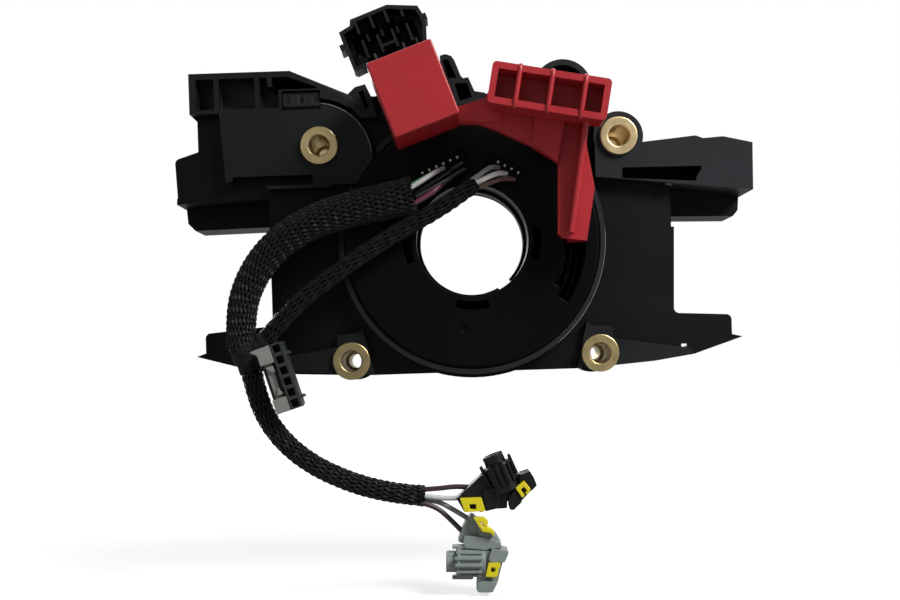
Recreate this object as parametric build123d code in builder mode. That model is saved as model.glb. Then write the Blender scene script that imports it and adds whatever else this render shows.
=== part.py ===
"""Steering clock spring: column-switch bracket, rotor, ribbon, harness and transport lock.

Frame: +X right, +Z up, the steering axis along Y, the driver's side towards -Y. The origin is on the
steering axis in the back plane that bolts to the column. Depth is counted forwards from that plane.
"""
import math
import os

from build123d import *

os.makedirs("parts", exist_ok=True)

# ---------------------------------------------------------------- driving dimensions, millimetres
# depths, from the back plane forwards
skirt_back = 8.0  # rear edge of the wings' side walls
plate_front = 30.0  # front of the bracket's main plate
pad_front = 32.5  # raised pads round the lower inserts
wing_front = 34.0  # front of the upper wings, the tray and the side brackets
lip_front = 35.2  # the lip round the rotor
rotor_front = 36.0  # rotor's face
lock_back = 38.0  # rear edge of the transport lock's hood
lock_front = 60.0  # hood's closed face

# walls and clearances
wall = 2.2
rib = 1.6
running_gap = 0.35  # rotor's rim in the bracket's lip
seat_gap = 0.3  # between pieces of different bodies that lie face to face
slip_fit = 0.1  # radial clearance of pieces that push together

# rotor and spring chamber
rotor_radius = 42.6
disc_thickness = 3.2
lip_width = 1.7
ring_wall = 5.3  # chamber wall
hub_tube_radius = 20.4
hub_tube_wall = 1.7
bore_radius = 17.6  # narrow collar of the column bore
bore_length = 5.0
collar_back = 20.0
pilot_radius = 20.0  # rear bore that centres the part on the column
pilot_length = 6.0
sleeve_wall = 2.0
cover_thickness = 2.4
cover_rebate = 2.2
slip_thickness = 0.4
ribbon_turns = 6
ribbon_thickness = 0.5
ribbon_height = 18.0

# bracket outline
wing_left = 99.6
wing_right = 95.0
wing_top = 32.0
wing_bottom = 4.6
tray_top = 59.0
tray_bottom = 45.4
tray_left = 93.3
notch_left = 68.3
notch_right = 67.6
notch_bottom = -26.2
arm_left = 91.2
arm_right = 87.0
arm_bottom = -43.9
body_top = 50.0

# threaded inserts
upper_span = 100.2
upper_height = 33.5
lower_span = 83.6
lower_height = -38.9
flange_radius = 6.35
flange_thickness = 1.5
insert_radius = 4.7
smooth_radius = 3.35
thread_radius = 2.5
thread_length = 14.0
boss_wall = 2.0

# plugs, pins and wires
pin_pitch = 2.54
pin_size = 0.64
wire_diameter = 1.7
wide_diameter = 10.0
thin_diameter = 6.0
lower_diameter = 7.0
harness_depth = 42.0  # depth of the sleeves' centrelines

# transport lock
lock_tilt = 19.5
hood_width = 21.8
hood_height = 25.0
lock_wall = 1.8
grip_tilt = -10.8
grip_length = 37.6
grip_height = 13.1
grip_front = 62.0
grip_back = 51.0
web_thickness = 3.0
tongue_reach = 4.0  # how far the tongue's tip enters the rotor's slot


# ---------------------------------------------------------------- shared helpers
def face(depth, x=0.0, z=0.0, tilt=0.0):
    """A plane that faces forwards at this depth, turned by tilt degrees about the steering axis."""
    turn = math.radians(tilt)
    across = (math.cos(turn), 0, math.sin(turn))
    return Plane(origin=(x, -depth, z), x_dir=across, z_dir=(0, -1, 0))


def corners(sketch, *places):
    """The sketch's vertices nearest to these places."""
    return [sketch.vertices().sort_by_distance(Vector(x, z, 0))[0] for x, z in places]


def outline(*points):
    """A closed straight-sided face through these points, added where they are given."""
    return Polygon(*points, align=None)


def finish(piece, name):
    """Labels a piece and writes its file."""
    piece.part.label = name
    export_step(piece.part, f"parts/{name}.step")


lip_radius = rotor_radius + running_gap
lip_outer = lip_radius + lip_width
chamber_radius = lip_radius - 2.4
ring_radius = chamber_radius + ring_wall
disc_back = rotor_front - disc_thickness
sleeve_inner = hub_tube_radius + slip_fit
sleeve_outer = sleeve_inner + sleeve_wall
cover_back = cover_rebate
cover_front = cover_back + cover_thickness
insert_places = {
    "insert_upper_left": (-upper_span / 2, upper_height, wing_front),
    "insert_upper_right": (upper_span / 2, upper_height, wing_front),
    "insert_lower_left": (-lower_span / 2, lower_height, pad_front),
    "insert_lower_right": (lower_span / 2, lower_height, pad_front),
}

# neck that carries the connector shroud, in a frame tilted like the shroud
shroud_tilt = 20.0
neck_left, neck_right, neck_top = -12.5, 9.5, 58.0
ring_boss_x, ring_boss_z, ring_boss_radius = 32.0, 50.0, 9.9


# ---------------------------------------------------------------- bracket housing
# One moulding: a plate with a skirt behind it, the chamber for the ribbon, wings with a notch each
# for the stalk switches, the cable tray, bosses for the inserts, hooks and the ring boss.
def tilted(x, z, tilt=shroud_tilt):
    """A place given along and across a direction tilted by this angle, in the front view."""
    turn = math.radians(tilt)
    return (x * math.cos(turn) - z * math.sin(turn), x * math.sin(turn) + z * math.cos(turn))


def bracket_face():
    """The bracket's whole outline, seen from the front."""
    outline(
        (-arm_left - 3.2, arm_bottom + 8.1),  # lower left arm
        (-arm_left, arm_bottom + 9.2),
        (-arm_left, notch_bottom - 1.9),
        (-notch_left, notch_bottom),
        (-notch_left, wing_bottom),  # left wing
        (-wing_left + 11.0, wing_bottom - 0.7),
        (-wing_left + 5.6, wing_bottom + 3.4),
        (-wing_left + 4.4, wing_bottom + 8.6),
        (-wing_left + 0.7, wing_bottom + 10.4),
        (-wing_left, wing_top - 1.0),
        (-wing_left + 8.0, wing_top + 1.5),
        (-wing_left + 8.0, tray_bottom - 1.6),
        (-tray_left, tray_bottom),
        (-tray_left, tray_top),
        (-59.4, tray_top),
        (-40.0, body_top + 0.5),
        (ring_boss_x - 9.0, body_top),
        (upper_span / 2 - 9.0, upper_height + 12.5),
        (upper_span / 2 - 3.0, upper_height + 7.5),
        (upper_span / 2 + 8.0, wing_top - 0.7),  # right wing
        (wing_right - 19.0, wing_top + 0.9),
        (wing_right - 16.5, wing_top - 0.1),
        (wing_right - 9.8, wing_top + 0.3),
        (wing_right, wing_top - 2.0),
        (wing_right - 0.3, wing_bottom + 9.6),
        (wing_right - 4.9, wing_bottom + 8.4),
        (wing_right - 5.6, wing_bottom + 2.0),
        (wing_right - 11.0, wing_bottom - 0.9),
        (notch_right + 1.0, wing_bottom),
        (notch_right, notch_bottom),
        (arm_right, notch_bottom - 1.1),  # lower right arm
        (arm_right, arm_bottom + 9.9),
        (arm_right + 3.6, arm_bottom + 9.0),
        (wing_right - 21.0, arm_bottom + 3.6),
        (60.7, arm_bottom + 1.7),
        (46.0, arm_bottom + 0.6),
        (35.0, arm_bottom),
        (-37.4, arm_bottom),
        (-60.3, arm_bottom + 1.1),
        (-76.2, arm_bottom + 3.0),
    )
    with Locations((ring_boss_x, ring_boss_z)):
        Circle(ring_boss_radius)
    with Locations((upper_span / 2, upper_height)):
        Circle(flange_radius + boss_wall)
    outline(*[tilted(x, z) for x, z in (
        (neck_left, 40.0),
        (neck_left, neck_top),
        (neck_right, neck_top),
        (neck_right, 40.0),
    )])
    Circle(ring_radius)


rounded_corners = (
    (-arm_left, notch_bottom - 1.9),
    (-notch_left, notch_bottom),
    (-wing_left + 0.7, wing_bottom + 10.4),
    (-wing_left, wing_top - 1.0),
    (-wing_left + 5.6, wing_bottom + 3.4),
    (-tray_left, tray_top),
    (wing_right, wing_top - 2.0),
    (wing_right - 5.6, wing_bottom + 2.0),
    (notch_right, notch_bottom),
    (arm_right, notch_bottom - 1.1),
)

with BuildPart() as bracket_housing:
    # plate and skirt
    with BuildSketch(face(skirt_back)) as silhouette:
        bracket_face()
        fillet(corners(silhouette, *rounded_corners), 1.8)
    extrude(amount=plate_front - skirt_back)

    # raised wings, with the lobe round the upper left insert
    lobe_x, lobe_z, lobe_radius = -upper_span / 2 - 1.4, upper_height - 4.5, 19.0
    plate_left = 83.4
    with BuildSketch(face(plate_front)):
        outline(
            (-tray_left, tray_top),
            (-59.4, tray_top),
            (-40.0, body_top + 0.5),
            (-40.0, tray_bottom),
            (-tray_left, tray_bottom),
        )
        outline(
            (-plate_left, tray_bottom),
            (-plate_left + 1.6, wing_top - 10.6),
            (-plate_left + 4.0, wing_top - 9.4),
            (-46.6, wing_top - 9.4),
            (-46.4, wing_top - 12.4),
            (-37.6, wing_top - 12.4),
            (lobe_x + lobe_radius, lobe_z),
            (lobe_x, tray_bottom + 1.0),
        )
        with BuildSketch(mode=Mode.PRIVATE) as lobe:
            with Locations((lobe_x, lobe_z)):
                Circle(lobe_radius)
            with Locations((lobe_x, wing_top - 12.4)):
                Rectangle(60, 40, align=(Align.CENTER, Align.MAX), mode=Mode.SUBTRACT)
        add(lobe.sketch)
    extrude(amount=wing_front - plate_front)
    with BuildSketch(face(plate_front)):
        outline(
            (upper_span / 2 - 8.0, upper_height - 13.3),
            (upper_span / 2 - 8.0, upper_height + 5.0),
            (upper_span / 2, upper_height + 8.2),
            (upper_span / 2 + 8.0, wing_top - 0.7),
            (wing_right - 19.0, wing_top + 0.9),
            (wing_right - 16.5, wing_top - 0.1),
            (wing_right - 9.8, wing_top + 0.3),
            (wing_right, wing_top - 2.0),
            (wing_right - 0.3, wing_bottom + 9.6),
        )
        with Locations((upper_span / 2, upper_height)):
            Circle(flange_radius + boss_wall)
        Circle(ring_radius, mode=Mode.SUBTRACT)
    extrude(amount=wing_front - plate_front)

    # raised pads round the lower inserts, the left one mirrored
    for side in (1, -1):
        with BuildSketch(face(plate_front)):
            outline(
                (side * 34.0, arm_bottom),
                (side * 37.7, arm_bottom + 15.8),
                (side * 39.4, arm_bottom + 14.4),
                (side * 46.5, arm_bottom + 13.8),
                (side * 46.5, arm_bottom + 10.0),
                (side * 50.9, arm_bottom + 9.1),
                (side * 72.3, arm_bottom + 5.7),
                (side * 73.6, arm_bottom + 3.8),
                (side * 60.5, arm_bottom + 1.9),
                (side * 46.0, arm_bottom + 0.8),
            )
            Circle(ring_radius, mode=Mode.SUBTRACT)
        extrude(amount=pad_front - plate_front)

    # lip round the rotor
    with BuildSketch(face(plate_front)):
        Circle(lip_outer)
    extrude(amount=lip_front - plate_front)

    # hollow back: one pocket inside the skirt, with bosses, ribs and the chamber wall left standing
    with BuildSketch(face(skirt_back)):
        bracket_face()
        offset(amount=-wall)
        for x, z, _ in insert_places.values():
            with Locations((x, z)):
                Circle(flange_radius + boss_wall, mode=Mode.SUBTRACT)
        with Locations((ring_boss_x, ring_boss_z)):
            Circle(ring_boss_radius, mode=Mode.SUBTRACT)
        for x in (-82.0, -58.0, 58.0, 80.0):
            with Locations((x, 0)):
                Rectangle(rib, 200, mode=Mode.SUBTRACT)
        for z in (wing_top - 14.0, arm_bottom + 11.0):
            with Locations((0, z)):
                Rectangle(220, rib, mode=Mode.SUBTRACT)
        Circle(ring_radius, mode=Mode.SUBTRACT)
    extrude(amount=plate_front - wall - skirt_back, mode=Mode.SUBTRACT)

    # skins behind the tray, the lobe's groove and the wedge slot
    tray_floor = wing_front - 8.0
    with BuildSketch(face(tray_floor - wall)):
        outline(
            (-tray_left + 1.0, tray_top - 1.0),
            (-67.0, tray_top - 1.0),
            (-67.0, tray_bottom - 1.0),
            (-tray_left + 1.0, tray_bottom - 1.0),
        )
    extrude(amount=plate_front - tray_floor + wall)
    slot_floor = skirt_back + 8.0
    with BuildSketch(face(slot_floor - wall)):
        outline(
            (-67.0, tray_top - 1.0),
            (-60.0, tray_top - 1.0),
            (-48.5, tray_top - 6.0),
            (-48.5, tray_bottom + 5.0),
            (-67.0, tray_bottom + 5.0),
        )
        outline(
            (upper_span / 2 - 1.0, wing_top - 5.0),
            (wing_right - 15.0, wing_top - 5.0),
            (wing_right - 15.0, wing_top - 15.0),
            (upper_span / 2 - 1.0, wing_top - 15.0),
        )
    extrude(amount=plate_front - slot_floor + wall)

    # chamber wall and insert bosses run on to the back plane
    with BuildSketch(Plane.XZ):
        Circle(ring_radius)
        for x, z, _ in insert_places.values():
            with Locations((x, z)):
                Circle(insert_radius + boss_wall)
    extrude(amount=skirt_back + wall)

    # spring chamber, the rotor's recess, the cover's rebate
    with BuildSketch(Plane.XZ):
        Circle(chamber_radius)
    extrude(amount=lip_front, mode=Mode.SUBTRACT)
    with BuildSketch(face(disc_back - seat_gap)):
        Circle(lip_radius)
    extrude(amount=lip_front, mode=Mode.SUBTRACT)
    with BuildSketch(Plane.XZ):
        Circle(chamber_radius + 2.0)
    extrude(amount=cover_front, mode=Mode.SUBTRACT)

    # cable tray: a trough with two ribs, a deep slot at its inner end and a pocket for the clip
    clip_x, clip_z = -55.8, tray_bottom + 3.7
    clip_width, clip_height, clip_depth = 12.6, 5.6, 3.0
    with BuildSketch(face(tray_floor)):
        outline(
            (-tray_left + 2.3, tray_top - 2.0),
            (-67.0, tray_top - 2.0),
            (-67.0, tray_bottom + 8.5),
            (-63.2, tray_bottom + 8.5),
            (-63.2, tray_bottom + 1.4),
            (-tray_left + 2.3, tray_bottom + 1.4),
        )
        for x in (-84.1, -70.4):
            with Locations((x, tray_bottom + 6)):
                Rectangle(rib, 20, mode=Mode.SUBTRACT)
    extrude(amount=wing_front, mode=Mode.SUBTRACT)
    with BuildSketch(face(slot_floor)):
        outline(
            (-65.4, tray_top - 2.0),
            (-60.0, tray_top - 2.0),
            (-50.5, tray_top - 5.6),
            (-50.5, tray_bottom + 7.4),
            (-65.4, tray_bottom + 7.4),
        )
    extrude(amount=wing_front, mode=Mode.SUBTRACT)
    with BuildSketch(face(wing_front - clip_depth)):
        with Locations((clip_x, clip_z)):
            Rectangle(clip_width + 0.4, clip_height + 0.8)
    extrude(amount=wing_front, mode=Mode.SUBTRACT)

    # groove that sets the lobe apart from the outer rim
    groove_depth = 1.2
    with BuildSketch(face(plate_front - groove_depth)):
        with Locations((lobe_x, lobe_z)):
            Circle(lobe_radius + 1.6)
            Circle(lobe_radius, mode=Mode.SUBTRACT)
        with Locations((lobe_x, tray_bottom - 44.0)):
            Rectangle(60, 60, align=(Align.MAX, Align.MIN), mode=Mode.SUBTRACT)
        with Locations((lobe_x, wing_top - 12.0)):
            Rectangle(80, 60, align=(Align.CENTER, Align.MAX), mode=Mode.SUBTRACT)
    extrude(amount=20, mode=Mode.SUBTRACT)

    # wedge-shaped slot in the right wing and a small slot in the lower right arm
    with BuildSketch(face(slot_floor)):
        outline(
            (upper_span / 2 + 1.6, wing_top - 7.9),
            (wing_right - 17.4, wing_top - 7.3),
            (wing_right - 17.4, wing_top - 10.4),
            (wing_right - 19.0, wing_top - 12.8),
            (upper_span / 2 + 1.6, wing_top - 11.2),
        )
    extrude(amount=wing_front, mode=Mode.SUBTRACT)
    with BuildSketch(face(plate_front - 6.0)):
        with Locations((wing_right - 24.2, arm_bottom + 6.6)):
            Rectangle(2.2, 1.1)
    extrude(amount=20, mode=Mode.SUBTRACT)

    # hooks beside the hood, and the stepped bracket on its right with two pockets
    hook_back = plate_front - 12.0
    hook_pocket_depth = 9.0
    with BuildSketch(face(hook_back)):
        outline(
            (-42.4, 49.6),
            (-40.0, 50.6),
            (-37.6, 52.8),
            (-34.2, 53.7),
            (-32.0, 49.0),
            (-30.6, 42.5),
            (-36.0, 42.5),
        )
        outline(
            (-12.0, 55.0),
            (-7.7, 58.7),
            (-8.8, 62.4),
            (-7.0, 62.9),
            (-5.0, 62.2),
            (-4.0, 60.8),
            (-2.0, 55.4),
            (-1.2, 54.6),
            (0.5, 54.9),
            (2.4, 50.2),
            (6.0, 49.5),
            (6.0, 45.5),
            (-10.0, 45.5),
        )
    extrude(amount=wing_front - hook_back)
    with BuildSketch(face(wing_front - hook_pocket_depth)):
        outline((-8.0, 61.0), (-6.0, 61.0), (-3.4, 54.8), (-6.4, 54.8))
        outline((-4.2, 53.0), (0.0, 53.0), (1.6, 48.2), (-2.6, 47.0))
        outline((-36.4, 51.2), (-35.0, 51.8), (-33.0, 46.0), (-34.4, 45.4))
    extrude(amount=20, mode=Mode.SUBTRACT)

    # ring boss
    ring_boss_wall = 1.9
    with BuildSketch(face(hook_back)):
        with Locations((ring_boss_x, ring_boss_z)):
            Circle(ring_boss_radius)
    extrude(amount=wing_front - hook_back)
    with BuildSketch(face(hook_back + ring_boss_wall)):
        with Locations((ring_boss_x, ring_boss_z)):
            Circle(ring_boss_radius - ring_boss_wall)
    extrude(amount=30, mode=Mode.SUBTRACT)

    # stepped seats for the four inserts
    for x, z, front in insert_places.values():
        with BuildSketch(Plane.XZ):
            with Locations((x, z)):
                Circle(insert_radius)
        extrude(amount=front + 10, mode=Mode.SUBTRACT)

for name, (x, z, front) in insert_places.items():
    with BuildPart() as insert:
        with BuildSketch(Plane.XZ):
            with Locations((x, z)):
                Circle(insert_radius)
        extrude(amount=front)
        with BuildSketch(face(front)):
            with Locations((x, z)):
                Circle(flange_radius)
        extrude(amount=flange_thickness)
        with BuildSketch(Plane.XZ):
            with Locations((x, z)):
                Circle(thread_radius)
        extrude(amount=front, mode=Mode.SUBTRACT)
        with BuildSketch(face(thread_length)):
            with Locations((x, z)):
                Circle(smooth_radius)
        extrude(amount=front, mode=Mode.SUBTRACT)
        mouth = insert.edges().filter_by(GeomType.CIRCLE).group_by(Axis.Y)[0].sort_by(SortBy.RADIUS)[0]
        chamfer(mouth, 0.5)
        rim = insert.edges().filter_by(GeomType.CIRCLE).group_by(Axis.Y)[0].sort_by(SortBy.RADIUS)[-1]
        chamfer(rim, 0.3)
    finish(insert, name)
finish(bracket_housing, "bracket_housing")

# ---------------------------------------------------------------- spring chamber
# The rear cover pushes into its rebate. The slip sheet lies on it, and the ribbon stands on that,
# wound round the hub with room to tighten and loosen.
cover_bore = sleeve_outer + running_gap
with BuildPart() as rear_cover:
    with BuildSketch(face(cover_back)):
        Circle(chamber_radius + 2.0 - slip_fit)
        Circle(cover_bore, mode=Mode.SUBTRACT)
    extrude(amount=cover_thickness)
    with BuildSketch(face(cover_back)):
        Circle(chamber_radius - 1.0)
        Circle(chamber_radius - 2.6, mode=Mode.SUBTRACT)
        with PolarLocations((chamber_radius + cover_bore) / 2 + 3.0, 6):
            Rectangle(chamber_radius - cover_bore - 8.0, rib)
    extrude(amount=-1.2)
finish(rear_cover, "rear_cover")

with BuildPart() as slip_sheet:
    with BuildSketch(face(cover_front)):
        Circle(chamber_radius - 0.5)
        Circle(cover_bore + 0.5, mode=Mode.SUBTRACT)
    extrude(amount=slip_thickness)
finish(slip_sheet, "slip_sheet")

ribbon_inner = sleeve_outer + 2.2
ribbon_pitch = (chamber_radius - 1.5 - ribbon_inner) / ribbon_turns
with BuildPart() as ribbon_cable:
    with BuildSketch(face(cover_front + slip_thickness)):
        for half in range(2 * ribbon_turns):
            radius = ribbon_inner + half * ribbon_pitch / 2
            centre = (0.0, 0.0) if half % 2 == 0 else (ribbon_pitch / 2, 0.0)
            start = 0 if half % 2 == 0 else 180
            with BuildLine():
                near_edge = CenterArc(centre, radius - ribbon_thickness / 2, start, 180)
                far_edge = CenterArc(centre, radius + ribbon_thickness / 2, start, 180)
                Line(near_edge @ 0, far_edge @ 0)
                Line(near_edge @ 1, far_edge @ 1)
            make_face()
    extrude(amount=ribbon_height)
finish(ribbon_cable, "ribbon_cable")

# ---------------------------------------------------------------- rotor
# The disc turns inside the lip. Its tube ends in a keyed collar that fits the column, and the hub
# pushes over the tube from behind, with three tabs that snap into the disc.
tab_places = ((-91.7, 29.0), (-4.0, 29.0), (188.0, 20.0))  # middle and span of each slot, degrees
lock_slot = (30.7, 38.0, -30.0, 8.0)  # radii and angles of the slot for the lock's tongue
pocket_depth = 1.6
left_row = (-10.0, 25.4, 22.4, 6)  # middle, tilt and number of the pins
right_row = (12.75, 23.9, -30.0, 4)


def arc_band(inner, outer, start, end):
    """A band between two radii and two angles."""
    with BuildLine() as band:
        near_edge = CenterArc((0, 0), inner, start, end - start)
        far_edge = CenterArc((0, 0), outer, start, end - start)
        Line(near_edge @ 0, far_edge @ 0)
        Line(near_edge @ 1, far_edge @ 1)
    return make_face(band.edges())


with BuildPart() as rotor_disc:
    tube_inner = hub_tube_radius - hub_tube_wall
    with BuildSketch(face(disc_back)):
        Circle(rotor_radius)
    extrude(amount=disc_thickness)
    chamfer(rotor_disc.edges().group_by(Axis.Y)[0], 0.8)
    with BuildSketch(face(collar_back)):
        Circle(hub_tube_radius)
    extrude(amount=disc_back - collar_back)
    with BuildSketch(face(collar_back)):
        Circle(bore_radius)
    extrude(amount=rotor_front, mode=Mode.SUBTRACT)
    with BuildSketch(face(collar_back + bore_length)):
        Circle(tube_inner)
    extrude(amount=rotor_front, mode=Mode.SUBTRACT)
    with BuildSketch(face(collar_back)):
        with Locations(Location((0, 0, 0), (0, 0, -53.0))):
            with Locations((bore_radius, 0)):
                Rectangle(3.6, 5.0)
    extrude(amount=bore_length, mode=Mode.SUBTRACT)
    # slots for the hub's tabs, the slot for the lock's tongue, a locating dimple
    with BuildSketch(face(disc_back)):
        for middle, span in tab_places:
            arc_band(hub_tube_radius, sleeve_outer + 0.6, middle - span / 2, middle + span / 2)
        slot_in, slot_out, slot_start, slot_end = lock_slot
        arc_band(slot_in, slot_out, slot_start, slot_end)
        arc_band(slot_in + 2.6, slot_out, slot_start - 5.0, slot_start)
    extrude(amount=rotor_front, mode=Mode.SUBTRACT)
    with BuildSketch(face(rotor_front - 0.6)):
        with Locations((-3.7, -29.4)):
            Circle(1.3)
    extrude(amount=1, mode=Mode.SUBTRACT)
    # terminal pockets
    x, z, tilt, count = left_row
    with BuildSketch(face(rotor_front - pocket_depth, x, z, tilt)):
        with Locations((0.6, -2.3)):
            Rectangle(count * pin_pitch + 3.4, 8.6)
    extrude(amount=5, mode=Mode.SUBTRACT)
    x, z, tilt, count = right_row
    with BuildSketch(face(rotor_front - pocket_depth, x, z, tilt)):
        with Locations((-0.4, -1.5)):
            Rectangle(count * pin_pitch + 3.8, 7.4)
    extrude(amount=5, mode=Mode.SUBTRACT)
finish(rotor_disc, "rotor_disc")

hub_back = 0.5
hub_flange_radius = cover_bore + 3.2
with BuildPart() as rotor_hub:
    with BuildSketch(face(hub_back)):
        Circle(hub_flange_radius)
    extrude(amount=cover_back - seat_gap - hub_back)
    with BuildSketch(Plane.XZ):
        Circle(sleeve_outer)
    extrude(amount=disc_back)
    with BuildSketch(face(disc_back)):
        for middle, span in tab_places:
            arc_band(sleeve_inner, sleeve_outer, middle - span / 2 + 2, middle + span / 2 - 2)
    extrude(amount=1.4)
    with BuildSketch(Plane.XZ):
        Circle(pilot_radius)
    extrude(amount=rotor_front, mode=Mode.SUBTRACT)
    with BuildSketch(face(pilot_length)):
        Circle(sleeve_inner)
    extrude(amount=rotor_front, mode=Mode.SUBTRACT)
finish(rotor_hub, "rotor_hub")

for name, (x, z, tilt, count) in {"terminals_left": left_row, "terminals_right": right_row}.items():
    with BuildPart() as terminals:
        with BuildSketch(face(rotor_front - pocket_depth, x, z, tilt)):
            with GridLocations(pin_pitch, 1, count, 1):
                Rectangle(pin_size, pin_size)
        extrude(amount=pocket_depth + 0.5)
    finish(terminals, name)

# ---------------------------------------------------------------- connector shroud and tray clip
# The shroud stands on the bracket's neck. All its places are in the frame that is tilted like it.
shroud_back, shroud_front = 12.0, 35.5
shroud_floor = 16.0  # floor of the deep cells
head_back = 27.0  # rear of the wider head
shroud_wall = 1.3
cell_wall = 0.9
cell_edges = (-9.2, -3.9, 1.3, 6.6)  # the partial walls between the cells
neck_outline = (
    (-11.0, neck_top),
    (-11.0, 71.2),
    (-13.8, 71.2),
    (-13.8, 80.0),
    (-9.6, 82.4),
    (2.6, 82.4),
    (11.0, 78.8),
    (11.0, neck_top),
)
head_outline = (
    (-11.0, neck_top),
    (-11.0, 67.1),
    (-14.6, 66.8),
    (-15.5, 67.6),
    (-15.5, 81.0),
    (-11.3, 81.7),
    (-10.4, 83.6),
    (2.8, 83.7),
    (12.2, 79.6),
    (12.8, 76.6),
    (12.8, 73.3),
    (11.0, 68.3),
    (11.0, neck_top),
)
blade_width, blade_height, blade_length = 0.8, 2.4, 6.0
blade_places = (
    (-11.6, 74.0),
    (-6.5, 72.5),
    (4.0, 72.5),
    (8.8, 72.5),
    (-6.5, 79.6),
    (-1.3, 79.6),
    (4.0, 78.6),
    (-1.3, 66.0),
)
with BuildPart() as connector_shroud:
    with BuildSketch(face(shroud_back, tilt=shroud_tilt)):
        outline(*neck_outline)
    extrude(amount=shroud_front - shroud_back)
    with BuildSketch(face(head_back, tilt=shroud_tilt)):
        outline(*head_outline)
        for x, z in ((-16.2, 75.8), (13.0, 75.4)):
            with Locations((x, z)):
                Rectangle(1.6, 2.2)
    extrude(amount=shroud_front - head_back)
    for floor, edge in ((shroud_floor, neck_outline), (head_back + shroud_wall, head_outline)):
        with BuildSketch(face(floor, tilt=shroud_tilt)):
            outline(*edge)
            offset(amount=-shroud_wall)
            for x in cell_edges:
                with Locations((x, 81.0)):
                    Rectangle(cell_wall, 6.0, mode=Mode.SUBTRACT)
                with Locations((x, 72.5)):
                    Rectangle(cell_wall, 6.2, mode=Mode.SUBTRACT)
            with Locations(((cell_edges[1] + cell_edges[2]) / 2, 71.5)):
                Rectangle(cell_edges[2] - cell_edges[1], cell_wall, mode=Mode.SUBTRACT)
        extrude(amount=shroud_front, mode=Mode.SUBTRACT)
finish(connector_shroud, "connector_shroud")

with BuildPart() as shroud_terminals:
    with BuildSketch(face(shroud_floor, tilt=shroud_tilt)):
        with Locations(*blade_places):
            Rectangle(blade_width, blade_height)
    extrude(amount=blade_length)
finish(shroud_terminals, "shroud_terminals")

with BuildPart() as tray_clip:
    with BuildSketch(face(wing_front - clip_depth, clip_x, clip_z)):
        RectangleRounded(clip_width, clip_height, 0.6)
    extrude(amount=clip_depth - 1.0)
    with BuildSketch(face(wing_front - 1.0, clip_x, clip_z)):
        with GridLocations(4.6, 1, 2, 1):
            RectangleRounded(3.0, 3.6, 0.5)
        with Locations((0.0, -1.6)):
            Rectangle(clip_width - 1.6, 1.2)
    extrude(amount=1.0)
finish(tray_clip, "tray_clip")

# ---------------------------------------------------------------- harness
# Three braided sleeves that meet in a taped junction. Each route is a list of (x, z) places in the
# plane of the harness. Its tube is straight runs joined by the largest tangent arcs that fit them.
wide_route = (
    (-18.3, 15.0),
    (-40.0, 11.2),
    (-55.2, 6.2),
    (-66.3, -1.5),
    (-73.5, -11.1),
    (-77.1, -22.0),
    (-77.0, -33.2),
)
thin_route = (
    (1.6, 18.3),
    (-8.5, 11.0),
    (-26.0, 2.2),
    (-46.0, -10.3),
    (-60.0, -20.6),
    (-69.2, -31.2),
)
lower_route = (
    (-74.0, -41.0),
    (-72.2, -51.3),
    (-66.3, -62.4),
    (-56.1, -71.9),
    (-42.3, -78.9),
    (-28.8, -82.8),
    (-18.4, -83.9),
)
sleeves = {
    "wide_sleeve": (wide_route, wide_diameter),
    "thin_sleeve": (thin_route, thin_diameter),
    "lower_sleeve": (lower_route, lower_diameter),
}


def arc_radii(points):
    """A radius for each corner of a route: 0.45 of its shorter run over the tangent of half its turn."""
    radii = []
    for before, here, after in zip(points, points[1:], points[2:]):
        run = min((here - before).length, (after - here).length)
        half_turn = math.radians((here - before).get_angle(after - here)) / 2
        radii.append(0.45 * run / math.tan(half_turn))
    return radii


def heading(start, end):
    """Unit direction between two places in the front view."""
    length = math.dist(start, end)
    return ((end[0] - start[0]) / length, (end[1] - start[1]) / length)


def beside(place, way, left, ahead=0.0):
    """The place this far to the left of a direction and this far ahead along it."""
    return (
        place[0] - way[1] * left + way[0] * ahead,
        place[1] + way[0] * left + way[1] * ahead,
    )


for name, (route, diameter) in sleeves.items():
    points = [Vector(x, -harness_depth, z) for x, z in route]
    radii = arc_radii(points)
    with BuildPart() as sleeve:
        with BuildLine() as path:
            FilletPolyline(*points, radius=radii)
        with BuildSketch(Plane(origin=points[0], z_dir=points[1] - points[0])):
            Circle(diameter / 2)
        sweep()
    length = path.wires()[0].length
    volume_ratio = sleeve.part.volume / (math.pi * diameter**2 / 4 * length)
    print(f"{name}: length {length:.1f}, volume ratio {volume_ratio:.4f}")
    print("  radii", [round(radius, 1) for radius in radii])
    finish(sleeve, name)

# junction: a flat taped bundle with a square face for each sleeve
wrap_back = harness_depth - wide_diameter / 2
wrap_front = harness_depth + 4.0
wide_end, thin_end, lower_start = wide_route[-1], thin_route[-1], lower_route[0]
wide_way = heading(wide_route[-2], wide_end)
thin_way = heading(thin_route[-2], thin_end)
lower_way = heading(lower_start, lower_route[1])
with BuildPart() as junction_wrap:
    with BuildSketch(face(wrap_back)):
        outline(
            beside(wide_end, wide_way, -wide_diameter / 2),
            beside(wide_end, wide_way, wide_diameter / 2),
            beside(thin_end, thin_way, -thin_diameter / 2),
            beside(thin_end, thin_way, thin_diameter / 2),
            beside(lower_start, lower_way, lower_diameter / 2),
            beside(lower_start, lower_way, -lower_diameter / 2),
            beside(wide_end, wide_way, -wide_diameter / 2 + 0.4, 4.8),
        )
    extrude(amount=wrap_front - wrap_back)
    chamfer(junction_wrap.faces().sort_by(Axis.Y)[0].edges().sort_by(Axis.X)[:2], 1.5)
finish(junction_wrap, "junction_wrap")


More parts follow.
